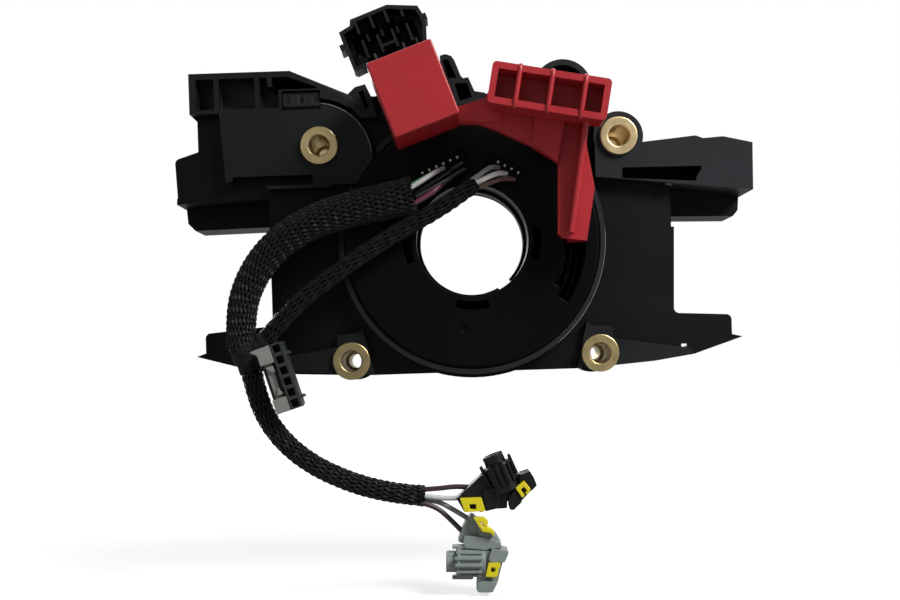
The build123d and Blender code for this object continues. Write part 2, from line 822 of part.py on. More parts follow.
def wire_group(name, ends):
    """Straight wires, each between two points given as x, z and depth."""
    with BuildPart() as group:
        for start, end in ends:
            start = Vector(start[0], -start[2], start[1])
            end = Vector(end[0], -end[2], end[1])
            with BuildSketch(Plane(origin=start, z_dir=end - start)):
                Circle(wire_diameter / 2)
            extrude(amount=(end - start).length)
    finish(group, name)


# bare wires between a terminal row and the mouth of its sleeve: where each wire starts in the
# row's own frame, then how far left of the mouth's middle and how far in front of it it goes in
wire_depth = rotor_front - pocket_depth + wire_diameter / 2 + 0.3
wire_entry = 1.0  # how far a wire's end reaches into a sleeve or a plug
left_wires = (
    (-5.7, -1.5, -3.4, 0.3),
    (0.6, -1.4, -2.0, 3.0),
    (6.9, -2.4, -0.1, -1.3),
    (7.0, -4.6, 1.3, 1.3),
    (1.6, -4.7, 3.0, -0.7),
)
right_wires = (
    (-2.9, -1.6, -1.3, 0.9),
    (0.4, -2.2, 0.0, -1.2),
    (3.6, -2.6, 1.4, 0.7),
)
for name, (x, z, tilt, _), route, places in (
    ("wires_left", left_row, wide_route, left_wires),
    ("wires_right", right_row, thin_route, right_wires),
):
    mouth_way = heading(route[0], route[1])
    ends = []
    for along, above, left, ahead in places:
        start_x, start_z = tilted(along, above, tilt)
        mouth = beside(route[0], mouth_way, left, wire_entry)
        ends.append(((x + start_x, z + start_z, wire_depth), (*mouth, harness_depth + ahead)))
    wire_group(name, ends)

# ---------------------------------------------------------------- six-way connector
# It lies on the junction. Its open face has six cells in a line and a latch in a recess beside them.
six_x, six_z, six_tilt = -63.3, -43.5, 17.0
six_width, six_height, six_thickness = 8.8, 21.8, 7.5
cell_pitch, cell_size, cell_depth = 3.65, 2.4, 5.0
cell_line = six_width / 2 - 2.2
pad_inner = 0.3  # where the latch's pads end beside the cells
upper_pad, lower_pad = 5.6, 4.8  # heights of the latch's two pads
recess_depth = 2.6
latch_edge = -six_width / 2
six_front = wrap_front + six_thickness
with BuildPart() as six_way_housing:
    with BuildSketch(face(wrap_front, six_x, six_z, six_tilt)):
        Rectangle(six_width, six_height)
    extrude(amount=six_thickness)
    chamfer(six_way_housing.edges().filter_by(Axis.Y).sort_by(Axis.X)[-1], 0.8)
    with BuildSketch(face(wrap_front + 2.0, six_x, six_z, six_tilt)):
        for z in (6.9, -7.7):
            with Locations((six_width / 2 + 0.5, z)):
                Rectangle(1.6, 1.0)
    extrude(amount=six_thickness - 2.6)
    with BuildSketch(face(six_front - cell_depth, six_x, six_z, six_tilt)):
        with Locations((cell_line, 0)):
            with GridLocations(1, cell_pitch, 1, 6):
                Rectangle(cell_size, cell_size)
    extrude(amount=cell_depth, mode=Mode.SUBTRACT)
    with BuildSketch(face(six_front - recess_depth, six_x, six_z, six_tilt)):
        with Locations((latch_edge, 0)):
            Rectangle(2 * (pad_inner - latch_edge), six_height)
    extrude(amount=recess_depth, mode=Mode.SUBTRACT)
finish(six_way_housing, "six_way_housing")

# the latch: two broad pads joined by a lever, with a wedge on the lever beside each pad
with BuildPart() as six_way_latch:
    with BuildSketch(face(six_front - recess_depth, six_x, six_z, six_tilt)):
        outline(
            (pad_inner - slip_fit, six_height / 2),
            (latch_edge, six_height / 2),
            (latch_edge - 2.0, six_height / 2 - 0.3),
            (latch_edge, six_height / 2 - 2.0),
            (latch_edge, six_height / 2 - upper_pad),
            (pad_inner - slip_fit, six_height / 2 - upper_pad),
        )
        outline(
            (pad_inner - slip_fit, -six_height / 2),
            (latch_edge, -six_height / 2),
            (latch_edge, lower_pad - six_height / 2),
            (pad_inner - slip_fit, lower_pad - six_height / 2),
        )
    extrude(amount=recess_depth)
    with BuildSketch(face(six_front - recess_depth, six_x, six_z, six_tilt)):
        with Locations((latch_edge + 2.2, 0)):
            Rectangle(2.4, six_height - 2.0)
    extrude(amount=recess_depth - 1.6)
    with BuildSketch(face(six_front - recess_depth, six_x, six_z, six_tilt)):
        outline((-3.2, 4.4), (-0.6, 4.4), (-0.6, 2.2), (-1.6, 2.4))
        outline((-2.6, -5.2), (-0.2, -5.2), (-1.4, -2.8))
    extrude(amount=recess_depth - 0.6)
finish(six_way_latch, "six_way_latch")

# ---------------------------------------------------------------- airbag connectors
# Two alike: a wedge where the wires go in, a ribbed barrel, an ear with a lock that pulls out
# forwards to free the plug, and a yellow retainer over the wires' seals.
squib_back = harness_depth - 4.5
squib_front = squib_back + 9.5
barrel_depth = harness_depth + 1.6
barrel_radius, barrel_length = 5.6, 7.2
retainer_thickness = 1.2
lock_recess, lock_proud = 2.6, 0.8


def squib_connector(name, body, barrel_place, barrel_angle, retainer, retainer_hole, lock, lock_hole):
    """One airbag connector: its housing, its retainer and its lock, from their outlines."""
    barrel_way = Vector(math.cos(math.radians(barrel_angle)), 0, math.sin(math.radians(barrel_angle)))
    barrel_root = Vector(barrel_place[0], -barrel_depth, barrel_place[1])
    with BuildPart() as housing:
        with BuildSketch(face(squib_back)):
            outline(*body)
        extrude(amount=squib_front - squib_back)
        with BuildSketch(Plane(origin=barrel_root, x_dir=(0, 1, 0), z_dir=barrel_way)):
            Circle(barrel_radius)
            with PolarLocations(barrel_radius, 14):
                Rectangle(1.2, 1.0)
        extrude(amount=barrel_length)
        with BuildSketch(Plane(origin=barrel_root, x_dir=(0, 1, 0), z_dir=barrel_way)):
            Circle(barrel_radius - 1.4)
        extrude(amount=barrel_length + 1.6)
        with BuildSketch(Plane(origin=barrel_root + barrel_way * 3.0, x_dir=(0, 1, 0), z_dir=barrel_way)):
            Circle(barrel_radius - 2.6)
        extrude(amount=barrel_length, mode=Mode.SUBTRACT)
        with BuildSketch(face(squib_front - lock_recess)):
            outline(*lock)
            offset(amount=seat_gap, kind=Kind.INTERSECTION)
        extrude(amount=lock_recess + 5, mode=Mode.SUBTRACT)
    finish(housing, f"{name}_body")
    with BuildPart() as cover:
        with BuildSketch(face(squib_front)):
            outline(*retainer)
            Polygon(*retainer_hole, align=None, mode=Mode.SUBTRACT)
        extrude(amount=retainer_thickness)
    finish(cover, f"{name}_retainer")
    with BuildPart() as pull:
        with BuildSketch(face(squib_front - lock_recess + seat_gap)):
            outline(*lock)
            Polygon(*lock_hole, align=None, mode=Mode.SUBTRACT)
        extrude(amount=lock_recess - seat_gap + lock_proud)
    finish(pull, f"{name}_lock")


squib_connector(
    "black_squib",
    body=(
        (-6.0, -89.0),
        (-8.3, -84.6),
        (-0.3, -77.1),
        (0.9, -76.0),
        (12.0, -77.0),
        (15.7, -76.3),
        (18.2, -81.2),
        (10.2, -89.3),
        (8.0, -87.6),
        (1.2, -89.0),
    ),
    barrel_place=(6.6, -79.0),
    barrel_angle=105.0,
    retainer=((-7.0, -84.5), (-0.4, -84.4), (1.1, -88.8), (-5.7, -88.8)),
    retainer_hole=((-4.4, -85.8), (-2.2, -85.8), (-1.8, -87.6), (-3.9, -87.6)),
    lock=((10.9, -81.5), (13.6, -79.3), (15.9, -82.0), (13.0, -84.9)),
    lock_hole=((12.6, -82.0), (13.6, -81.2), (14.4, -82.2), (13.4, -83.1)),
)
squib_connector(
    "grey_squib",
    body=(
        (-3.5, -90.2),
        (0.5, -92.0),
        (4.0, -96.8),
        (5.6, -99.1),
        (5.5, -100.4),
        (8.1, -102.2),
        (4.2, -111.6),
        (2.6, -115.4),
        (-2.5, -114.4),
        (-3.1, -111.1),
        (-5.0, -110.4),
        (-5.0, -99.8),
        (-8.3, -98.7),
    ),
    barrel_place=(-4.0, -104.6),
    barrel_angle=177.0,
    retainer=((-2.8, -90.9), (0.1, -92.0), (3.6, -96.6), (2.6, -97.2), (-0.6, -95.3)),
    retainer_hole=((-0.9, -92.4), (0.2, -92.9), (1.3, -94.4), (0.2, -94.4)),
    lock=((1.3, -105.6), (5.0, -105.8), (3.9, -110.2), (0.5, -110.0)),
    lock_hole=((2.1, -106.8), (3.7, -106.9), (3.2, -109.0), (1.7, -108.9)),
)

# wires from the lower sleeve's end into each airbag connector, two by two
lower_end = lower_route[-1]
lower_end_way = heading(lower_route[-2], lower_end)
for name, places in (
    ("wires_to_black", ((2.1, 0.6, (-3.8, -81.3)), (0.1, 1.2, (-7.0, -84.9)))),
    ("wires_to_grey", ((-1.4, -1.4, (-3.7, -92.3)), (-2.2, 1.2, (-6.0, -96.6)))),
):
    ends = []
    for left, ahead, (end_x, end_z) in places:
        start = beside(lower_end, lower_end_way, left, -wire_entry)
        ends.append(((*start, harness_depth + ahead), (end_x, end_z, harness_depth)))
    wire_group(name, ends)

# ---------------------------------------------------------------- transport lock
# One moulding that keeps the rotor in its middle turn until the part is fitted: a hood over the
# shroud's neck, a web, a grip with three ribs, and a tongue whose leg stands in the rotor's slot.
hood_x, hood_z = -17.55, 45.8
hood_corner, hood_edge = 0.8, 0.6
grip_x, grip_z = 25.0, 43.1
web_back = 46.5
web_front = web_back + web_thickness
web_pad = 1.2
tongue_back = web_back - web_thickness
grip_wall = 2.1
grip_floor = grip_back + grip_wall
grip_ribs = (-10.1, 0.2, 10.7)
rib_proud = 0.8
rib_reach = 2.4  # how far a rib runs down the outside of the grip
with BuildPart() as transport_lock:
    with BuildSketch(face(lock_back, hood_x, hood_z, lock_tilt)):
        RectangleRounded(hood_width, hood_height, hood_corner)
    extrude(amount=lock_front - lock_back)
    fillet(transport_lock.faces().sort_by(Axis.Y)[0].edges(), hood_edge)
    with BuildSketch(face(lock_back, hood_x, hood_z, lock_tilt)):
        Rectangle(hood_width - 2 * lock_wall, hood_height - 2 * lock_wall)
    extrude(amount=lock_front - lock_back - lock_wall, mode=Mode.SUBTRACT)

    # web between hood and grip, with two raised pads
    with BuildSketch(face(web_back)):
        outline(
            (-5.6, 41.0),
            (4.9, 44.1),
            (7.0, 47.0),
            (32.0, 43.0),
            (30.8, 35.9),
            (28.0, 22.7),
            (19.7, 28.4),
            (9.0, 33.7),
            (2.8, 36.2),
            (-3.6, 36.4),
            (-4.4, 39.0),
        )
    extrude(amount=web_thickness)
    with BuildSketch(face(web_front)):
        outline((-4.0, 41.3), (4.7, 43.9), (11.0, 39.8), (10.4, 36.2), (6.1, 36.4), (2.8, 36.5), (-3.2, 36.7))
        outline((21.0, 38.4), (19.9, 28.6), (27.8, 23.1), (30.5, 36.0), (30.9, 38.4))
    extrude(amount=web_pad)

    # tongue, its leg that enters the rotor's slot, and the block that carries the grip
    with BuildSketch(face(tongue_back)):
        outline(
            (28.4, 41.0),
            (28.4, 23.4),
            (27.6, 0.2),
            (29.0, -1.2),
            (36.9, -2.4),
            (40.0, 14.8),
            (37.9, 28.1),
            (37.7, 40.0),
        )
    extrude(amount=web_thickness + 0.2)
    with BuildSketch(face(rotor_front - tongue_reach, 34.2, 1.0)):
        Rectangle(5.2, 5.0)
    extrude(amount=tongue_back - rotor_front + tongue_reach)
    with BuildSketch(face(web_back)):
        outline((9.5, 47.0), (37.0, 42.5), (37.0, 37.5), (10.0, 42.4))
    extrude(amount=grip_back + 0.5 - web_back)

    # fin that stiffens the tongue, lower towards its tip
    fin_top, fin_tip = (37.0, 34.6), (31.6, 0.4)
    fin_way = heading(fin_top, fin_tip)
    fin_length = math.dist(fin_top, fin_tip)
    fin_plane = Plane(
        origin=(fin_top[0], -tongue_back - 1.0, fin_top[1]),
        x_dir=(fin_way[0], 0, fin_way[1]),
        z_dir=(-fin_way[1], 0, fin_way[0]),
    )
    with BuildSketch(fin_plane):
        outline((0, 0), (fin_length, 0), (fin_length, -4.5), (0, -9.5))
    extrude(amount=1.0, both=True)

    # grip: a shallow box open in front, crossed by three ribs that stand proud
    with BuildSketch(face(grip_back, grip_x, grip_z, grip_tilt)):
        RectangleRounded(grip_length, grip_height, 1.4)
    extrude(amount=grip_front - grip_back)
    with BuildSketch(face(grip_floor, grip_x, grip_z, grip_tilt)):
        Rectangle(grip_length - 2 * grip_wall, grip_height - 2 * grip_wall)
    extrude(amount=grip_front, mode=Mode.SUBTRACT)
    for start, proud in ((grip_floor, 0.0), (grip_front - rib_reach, rib_proud)):
        with BuildSketch(face(start, grip_x, grip_z, grip_tilt)):
            for x in grip_ribs:
                with Locations((x, 0)):
                    Rectangle(rib, grip_height - grip_wall + 2 * proud)
        extrude(amount=grip_front + proud - start)
finish(transport_lock, "transport_lock")
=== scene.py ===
"""A steering clock spring, dressed: switch bracket, rotor, braided harness and transport lock."""
import math

import bmesh
import bpy
from mathutils import Matrix, Vector


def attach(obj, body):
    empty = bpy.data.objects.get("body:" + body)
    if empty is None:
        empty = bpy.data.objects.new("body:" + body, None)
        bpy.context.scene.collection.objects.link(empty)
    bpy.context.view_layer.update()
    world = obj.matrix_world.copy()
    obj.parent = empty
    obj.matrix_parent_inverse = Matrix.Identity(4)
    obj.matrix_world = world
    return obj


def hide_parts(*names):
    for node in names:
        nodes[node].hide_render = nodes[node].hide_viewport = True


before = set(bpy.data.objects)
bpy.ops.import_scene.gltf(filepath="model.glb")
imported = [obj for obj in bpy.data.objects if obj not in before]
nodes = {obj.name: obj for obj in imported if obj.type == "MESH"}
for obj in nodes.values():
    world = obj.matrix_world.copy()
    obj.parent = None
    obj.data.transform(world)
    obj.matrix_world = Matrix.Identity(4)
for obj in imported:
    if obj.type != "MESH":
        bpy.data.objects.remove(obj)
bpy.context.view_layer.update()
scene = bpy.context.scene
scene.view_settings.view_transform = "Standard"

# ---------------------------------------------------------------- camera
# Level with a point below the rotor, straight in front of it. The frame is turned a little, and moved
# up so that the whole part is in it.
image_width = 900
focal_pixels = 1140.0
camera_place = (-0.0087, -0.416, -0.0383)
camera_turn = math.radians(1.9)
horizon_below_middle = 56.0
camera_data = bpy.data.cameras.new("camera")
camera_data.sensor_width = 36.0
camera_data.lens = camera_data.sensor_width * focal_pixels / image_width
camera_data.shift_y = horizon_below_middle / image_width
camera_data.clip_start = 0.01
camera = bpy.data.objects.new("camera", camera_data)
camera.location = camera_place
camera.rotation_euler = (math.radians(90), camera_turn, 0)
scene.collection.objects.link(camera)
scene.camera = camera


# ---------------------------------------------------------------- braided sleeves
# Three expandable sleeves over the wires, each woven from black nylon monofilament in flat pairs.
# Strands of both hands pass over and under each other round a core of wires painted near black: painted
# shade inside the sleeve.
class Signal:
    """An output socket of a node. Arithmetic on it adds the Math nodes that work it out."""

    def __init__(self, socket):
        self.socket = socket
        self.tree = socket.id_data

    @staticmethod
    def node(tree, kind, settings, sockets, output=0):
        """Adds any node: its settings first, then the values or links of its sockets."""
        node = tree.nodes.new(kind)
        for name, value in settings.items():
            setattr(node, name, value)
        for name, value in sockets.items():
            if isinstance(value, Signal):
                tree.links.new(value.socket, node.inputs[name])
            else:
                node.inputs[name].default_value = value
        return Signal(node.outputs[output])

    def output(self, name):
        """Another output of the node that this one comes from."""
        return Signal(self.socket.node.outputs[name])

    def maths(self, operation, *values):
        """A Math node with this signal as its first value."""
        return Signal.node(
            self.tree, "ShaderNodeMath", {"operation": operation}, dict(enumerate((self, *values)))
        )

    def __add__(self, other):
        return self.maths("ADD", other)

    def __mul__(self, other):
        return self.maths("MULTIPLY", other)

    def __sub__(self, other):
        return self.maths("SUBTRACT", other)

    def __rsub__(self, other):
        return (self * -1.0) + other

    def __truediv__(self, other):
        return self.maths("DIVIDE", other)

    def __gt__(self, other):
        return self.maths("GREATER_THAN", other)

    def __lt__(self, other):
        return self.maths("LESS_THAN", other)

    __radd__ = __add__
    __rmul__ = __mul__


def principled(name, **sockets):
    """A material with one Principled shader. Returns it with its node tree and shader."""
    material = bpy.data.materials.new(name)
    material.use_nodes = True
    shader = material.node_tree.nodes["Principled BSDF"]
    for socket, value in sockets.items():
        shader.inputs[socket.replace("_", " ")].default_value = value
    return material, material.node_tree, shader


def connect(tree, shader, **signals):
    """Links signals to the shader's sockets."""
    for socket, signal in signals.items():
        tree.links.new(signal.socket, shader.inputs[socket.replace("_", " ")])


def noise(tree, place, size, detail=2.0, roughness=0.5):
    """A noise pattern with features of about this size in metres, from 0 to 1."""
    return Signal.node(
        tree,
        "ShaderNodeTexNoise",
        {},
        {"Vector": place, "Scale": 1.0 / size, "Detail": detail, "Roughness": roughness},
        "Fac",
    )


def blend_colours(tree, factor, dark, light):
    """A colour between two, by a factor."""
    return Signal.node(
        tree,
        "ShaderNodeMix",
        {"data_type": "RGBA"},
        {0: factor, 6: (*dark, 1.0), 7: (*light, 1.0)},
        2,
    )


def bump(tree, height, depth, strength=1.0):
    """A surface normal from a height pattern of this depth in metres."""
    sockets = {"Height": height, "Distance": depth, "Strength": strength}
    return Signal.node(tree, "ShaderNodeBump", {}, sockets, "Normal")


def object_place(tree):
    """The place on the object, in metres."""
    return Signal.node(tree, "ShaderNodeTexCoord", {}, {}, "Object")


def axes(tree, place):
    """The x, y and z of a place."""
    x = Signal.node(tree, "ShaderNodeSeparateXYZ", {}, {0: place}, "X")
    return x, x.output("Y"), x.output("Z")


def slope(tree, value, start, end, low=0.0, high=1.0):
    """Goes from low to high while the value goes from start to end, and stays there."""
    limits = {"Value": value, "From Min": start, "From Max": end, "To Min": low, "To Max": high}
    return Signal.node(tree, "ShaderNodeMapRange", {}, limits, "Result")


def vector_maths(tree, operation, sockets, output=0):
    """A Vector Math node with these sockets."""
    return Signal.node(tree, "ShaderNodeVectorMath", {"operation": operation}, sockets, output)


def paler(colour, times):
    """A colour with every part of it multiplied."""
    return tuple(times * part for part in colour)


def filament_finish(name, colour, worn):
    """Drawn nylon filament: black and glossy, with duller lengths."""
    material, tree, shader = principled(name, Specular_IOR_Level=0.3)
    place = object_place(tree)
    fine = noise(tree, place, 0.0006, 3.0)
    connect(
        tree,
        shader,
        Base_Color=blend_colours(tree, noise(tree, place, 0.002), colour, worn),
        Roughness=0.24 + 0.3 * fine,
        Normal=bump(tree, fine, 0.00003, 0.4),
    )
    return material


def core_finish(name, colour):
    """The bundle of wires and tape inside, painted near black: painted shade that shows between the
    strands.
    """
    material, tree, shader = principled(name, Specular_IOR_Level=0.05)
    place = object_place(tree)
    lumps = noise(tree, place, 0.0018)
    connect(
        tree,
        shader,
        Base_Color=blend_colours(tree, lumps, colour, paler(colour, 2.2)),
        Roughness=0.6 + 0.2 * lumps,
        Normal=bump(tree, lumps, 0.0003, 0.6),
    )
    return material


def smooth_line(name, places, steps, radius=0.0, roundness=4):
    """A smooth line, or a round bar of this radius, that is led by places in metres."""
    curve = bpy.data.curves.new(name, "CURVE")
    curve.dimensions = "3D"
    spline = curve.splines.new("NURBS")
    spline.points.add(len(places) - 1)
    for point, place in zip(spline.points, places):
        point.co = (*place, 1.0)
    spline.order_u = 3
    spline.use_endpoint_u = True
    spline.resolution_u = curve.resolution_u = steps
    curve.bevel_depth = radius
    curve.bevel_resolution = roundness
    curve.use_fill_caps = radius > 0
    line = bpy.data.objects.new(name, curve)
    scene.collection.objects.link(line)
    return line


def braid_tree():
    """Geometry nodes that weave strands of filaments round a curve that lies upright."""
    tree = bpy.data.node_groups.new("braid", "GeometryNodeTree")
    sockets = {}
    for name, kind in (
        ("Geometry", "Geometry"),
        ("Strands", "Int"),
        ("Filaments", "Int"),
        ("Turns", "Float"),
        ("Radius", "Float"),
        ("Start width", "Float"),
        ("End width", "Float"),
        ("Thickness", "Float"),
        ("Lift", "Float"),
        ("Filament radius", "Float"),
        ("Samples", "Int"),
        ("Material", "Material"),
    ):
        kind = f"NodeSocket{kind}"
        sockets[name] = tree.interface.new_socket(name=name, in_out="INPUT", socket_type=kind)
    tree.interface.new_socket(name="Geometry", in_out="OUTPUT", socket_type="NodeSocketGeometry")
    longest_cut, flare_height, flare_reach = 0.022, 0.03, 55.0
    filament_pitch, ridge_count, ridge_twist, ridge_height = 2.3, 5.0, 9.0, 0.018
    upright = (0.0, 1.0, 0.0)
    given = Signal.node(tree, "NodeGroupInput", {}, {}, "Geometry")
    strands, filaments = given.output("Strands"), given.output("Filaments")
    hands = []
    for hand in (1, -1):
        straight = Signal.node(tree, "GeometryNodeCurvePrimitiveLine", {}, {"End": (0.0, 0.0, 1.0)})
        sampled = Signal.node(
            tree, "GeometryNodeResampleCurve", {}, {"Curve": straight, "Count": given.output("Samples")}
        )
        copies = Signal.node(
            tree,
            "GeometryNodeDuplicateElements",
            {"domain": "SPLINE"},
            {"Geometry": sampled, "Amount": strands * filaments},
            "Geometry",
        )
        index = copies.output("Duplicate Index")
        strand = (index / filaments).maths("FLOOR")
        filament = index - strand * filaments - (filaments - 1.0) * 0.5
        along = Signal.node(tree, "GeometryNodeSplineParameter", {}, {}, "Factor")
        # each filament is cut at its own length, and the cut ends stand out a little
        cut = Signal.node(
            tree,
            "FunctionNodeRandomValue",
            {"data_type": "FLOAT"},
            {2: 0.0, 3: longest_cut, "ID": index, "Seed": 5 + hand},
            1,
        )
        along = cut + along * (1.0 - 1.5 * cut)
        step = given.output("Filament radius") * filament_pitch / given.output("Radius")
        turn = 2 * math.pi * (strand / strands + given.output("Turns") * along * hand) + filament * step
        weave = (2 * math.pi * given.output("Turns") * strands * along).maths("COSINE") * hand
        flare = (-flare_reach * along).maths("EXPONENT")
        flare = flare + (flare_reach * (along - 1.0)).maths("EXPONENT")
        # a strand goes over and under; the wires inside press through as long low ridges
        ridges = (turn * ridge_count + ridge_twist * along).maths("SINE") * ridge_height
        radius = given.output("Radius") * (1.0 + ridges) + given.output("Lift") * weave
        radius = radius + flare * cut * flare_height
        width = given.output("Start width") * (1.0 - along) + given.output("End width") * along
        line = Signal.node(
            tree,
            "GeometryNodeSampleCurve",
            {"mode": "FACTOR", "use_all_curves": True},
            {"Curves": given, "Factor": along},
            "Position",
        )
        side = vector_maths(tree, "CROSS_PRODUCT", {0: line.output("Tangent"), 1: upright})
        sideways = turn.maths("COSINE") * radius * width
        ahead = turn.maths("SINE") * radius * given.output("Thickness")
        out = vector_maths(tree, "SCALE", {0: side, "Scale": sideways})
        over = vector_maths(tree, "SCALE", {0: upright, "Scale": ahead})
        place = vector_maths(tree, "ADD", {0: line, 1: out})
        place = vector_maths(tree, "ADD", {0: place, 1: over})
        hands.append(
            Signal.node(tree, "GeometryNodeSetPosition", {}, {"Geometry": copies, "Position": place})
        )
    joined = tree.nodes.new("GeometryNodeJoinGeometry")
    for woven in hands:
        tree.links.new(woven.socket, joined.inputs[0])
    section = Signal.node(
        tree,
        "GeometryNodeCurvePrimitiveCircle",
        {},
        {"Resolution": 4, "Radius": given.output("Filament radius")},
    )
    solid = Signal.node(
        tree,
        "GeometryNodeCurveToMesh",
        {},
        {"Curve": Signal(joined.outputs[0]), "Profile Curve": section, "Fill Caps": True},
    )
    real = Signal.node(tree, "GeometryNodeRealizeInstances", {}, {"Geometry": solid})
    finished = Signal.node(
        tree, "GeometryNodeSetMaterial", {}, {"Geometry": real, "Material": given.output("Material")}
    )
    out = tree.nodes.new("NodeGroupOutput")
    tree.links.new(finished.socket, out.inputs[0])
    return tree, {name: socket.identifier for name, socket in sockets.items()}


def plain_mesh(source, name):
    """The evaluated shape of an object as a mesh object of its own, at the origin."""
    bpy.context.view_layer.update()
    evaluated = source.evaluated_get(bpy.context.evaluated_depsgraph_get())
    mesh = bpy.data.meshes.new_from_object(evaluated)
    mesh.name = name
    piece = bpy.data.objects.new(name, mesh)
    scene.collection.objects.link(piece)
    return piece


harness_depth = 0.042
# the middle line of each sleeve seen from the front, x and z in metres
routes = {
    "wide": (
        (-0.0183, 0.0150),
        (-0.0400, 0.0112),
        (-0.0552, 0.0062),
        (-0.0663, -0.0015),
        (-0.0735, -0.0111),
        (-0.0771, -0.0220),
        (-0.0770, -0.0332),
    ),
    "thin": (
        (0.0016, 0.0183),
        (-0.0085, 0.0110),
        (-0.0260, 0.0022),
        (-0.0460, -0.0103),
        (-0.0600, -0.0206),
        (-0.0692, -0.0312),
    ),
    "lower": (
        (-0.0740, -0.0410),
        (-0.0722, -0.0513),
        (-0.0663, -0.0624),
        (-0.0561, -0.0719),
        (-0.0423, -0.0789),
        (-0.0288, -0.0828),
        (-0.0184, -0.0839),
    ),
}
# outside diameter, strands of each hand, turns of a strand, width at the mouth and at the end, and
# thickness: the wide sleeve lies flat
sleeve_sizes = {
    "wide": (0.0100, 22, 1.05, 1.28, 0.97, 0.92),
    "thin": (0.0060, 12, 1.15, 0.95, 1.0, 1.0),
    "lower": (0.0070, 14, 1.25, 1.0, 1.0, 1.0),
}
filament_radius = 0.00016
braid_lift = 0.00026
filament_black = filament_finish("filament black", (0.002, 0.0022, 0.0025), (0.006, 0.007, 0.0075))
# the core is painted near black: painted shade inside the sleeve
core_shade_black = core_finish("core black", (0.0004, 0.0004, 0.0005))
weave, weave_inputs = braid_tree()
for name, (diameter, strands, turns, start_width, end_width, thickness) in sleeve_sizes.items():
    line = smooth_line(f"{name}_line", [(x, -harness_depth, z) for x, z in routes[name]], 16)
    modifier = line.modifiers.new("braid", "NODES")
    modifier.node_group = weave
    braid_radius = diameter / 2 - filament_radius - braid_lift
    for socket, value in {
        "Strands": strands,
        "Filaments": 2,
        "Turns": turns,
        "Radius": braid_radius,
        "Start width": start_width,
        "End width": end_width,
        "Thickness": thickness,
        "Lift": braid_lift,
        "Filament radius": filament_radius,
        "Samples": 210,
        "Material": filament_black,
    }.items():
        modifier[weave_inputs[socket]] = value
    braid = plain_mesh(line, f"{name}_braid")
    braid.data.materials.clear()
    braid.data.materials.append(filament_black)
    braid.data.shade_smooth()
    line.modifiers.remove(modifier)
    line.data.bevel_depth = braid_radius * thickness - filament_radius - braid_lift
    line.data.use_fill_caps = True
    line.data.materials.append(core_shade_black)
    line.name = f"{name}_core"
    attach(line, "rotor")
    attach(braid, "rotor")
    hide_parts(f"{name}_sleeve")

# ---------------------------------------------------------------- bare wires
# Thin-wall PVC insulation in several colours. They run from the soldered rows to the sleeves' mouths,
# and from the lower sleeve into the two airbag plugs.
def insulation(name, colour):
    """Extruded PVC: slightly uneven gloss with faint draw lines."""
    material, tree, shader = principled(name)
    place = object_place(tree)
    uneven = noise(tree, place, 0.003)
    connect(
        tree,
        shader,
        Base_Color=blend_colours(tree, uneven, paler(colour, 0.75), colour),
        Roughness=0.32 + 0.16 * uneven,
        Normal=bump(tree, uneven, 0.0001, 0.3),
    )
    return material


def wire(name, points, colour):
    """One wire through points given as x, z and depth in millimetres."""
    places = [(x / 1000, -depth / 1000, z / 1000) for x, z, depth in points]
    line = smooth_line(f"{name}_line", places, 12, wire_radius)
    line.data.materials.append(insulation(name, colour))
    piece = plain_mesh(line, name)
    bpy.data.objects.remove(line)
    piece.data.shade_smooth()
    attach(piece, "rotor")
    return piece


wire_radius = 0.00085
wire_colours = {
    "green": (0.02, 0.27, 0.09),
    "pale": (0.5, 0.51, 0.49),
    "black": (0.003, 0.003, 0.003),
    "slate": (0.01, 0.011, 0.011),
    "maroon": (0.13, 0.02, 0.05),
    "grey": (0.24, 0.24, 0.235),
    "white": (0.74, 0.75, 0.73),
    "tan": (0.12, 0.06, 0.05),
    "dark_red": (0.035, 0.014, 0.014),
}
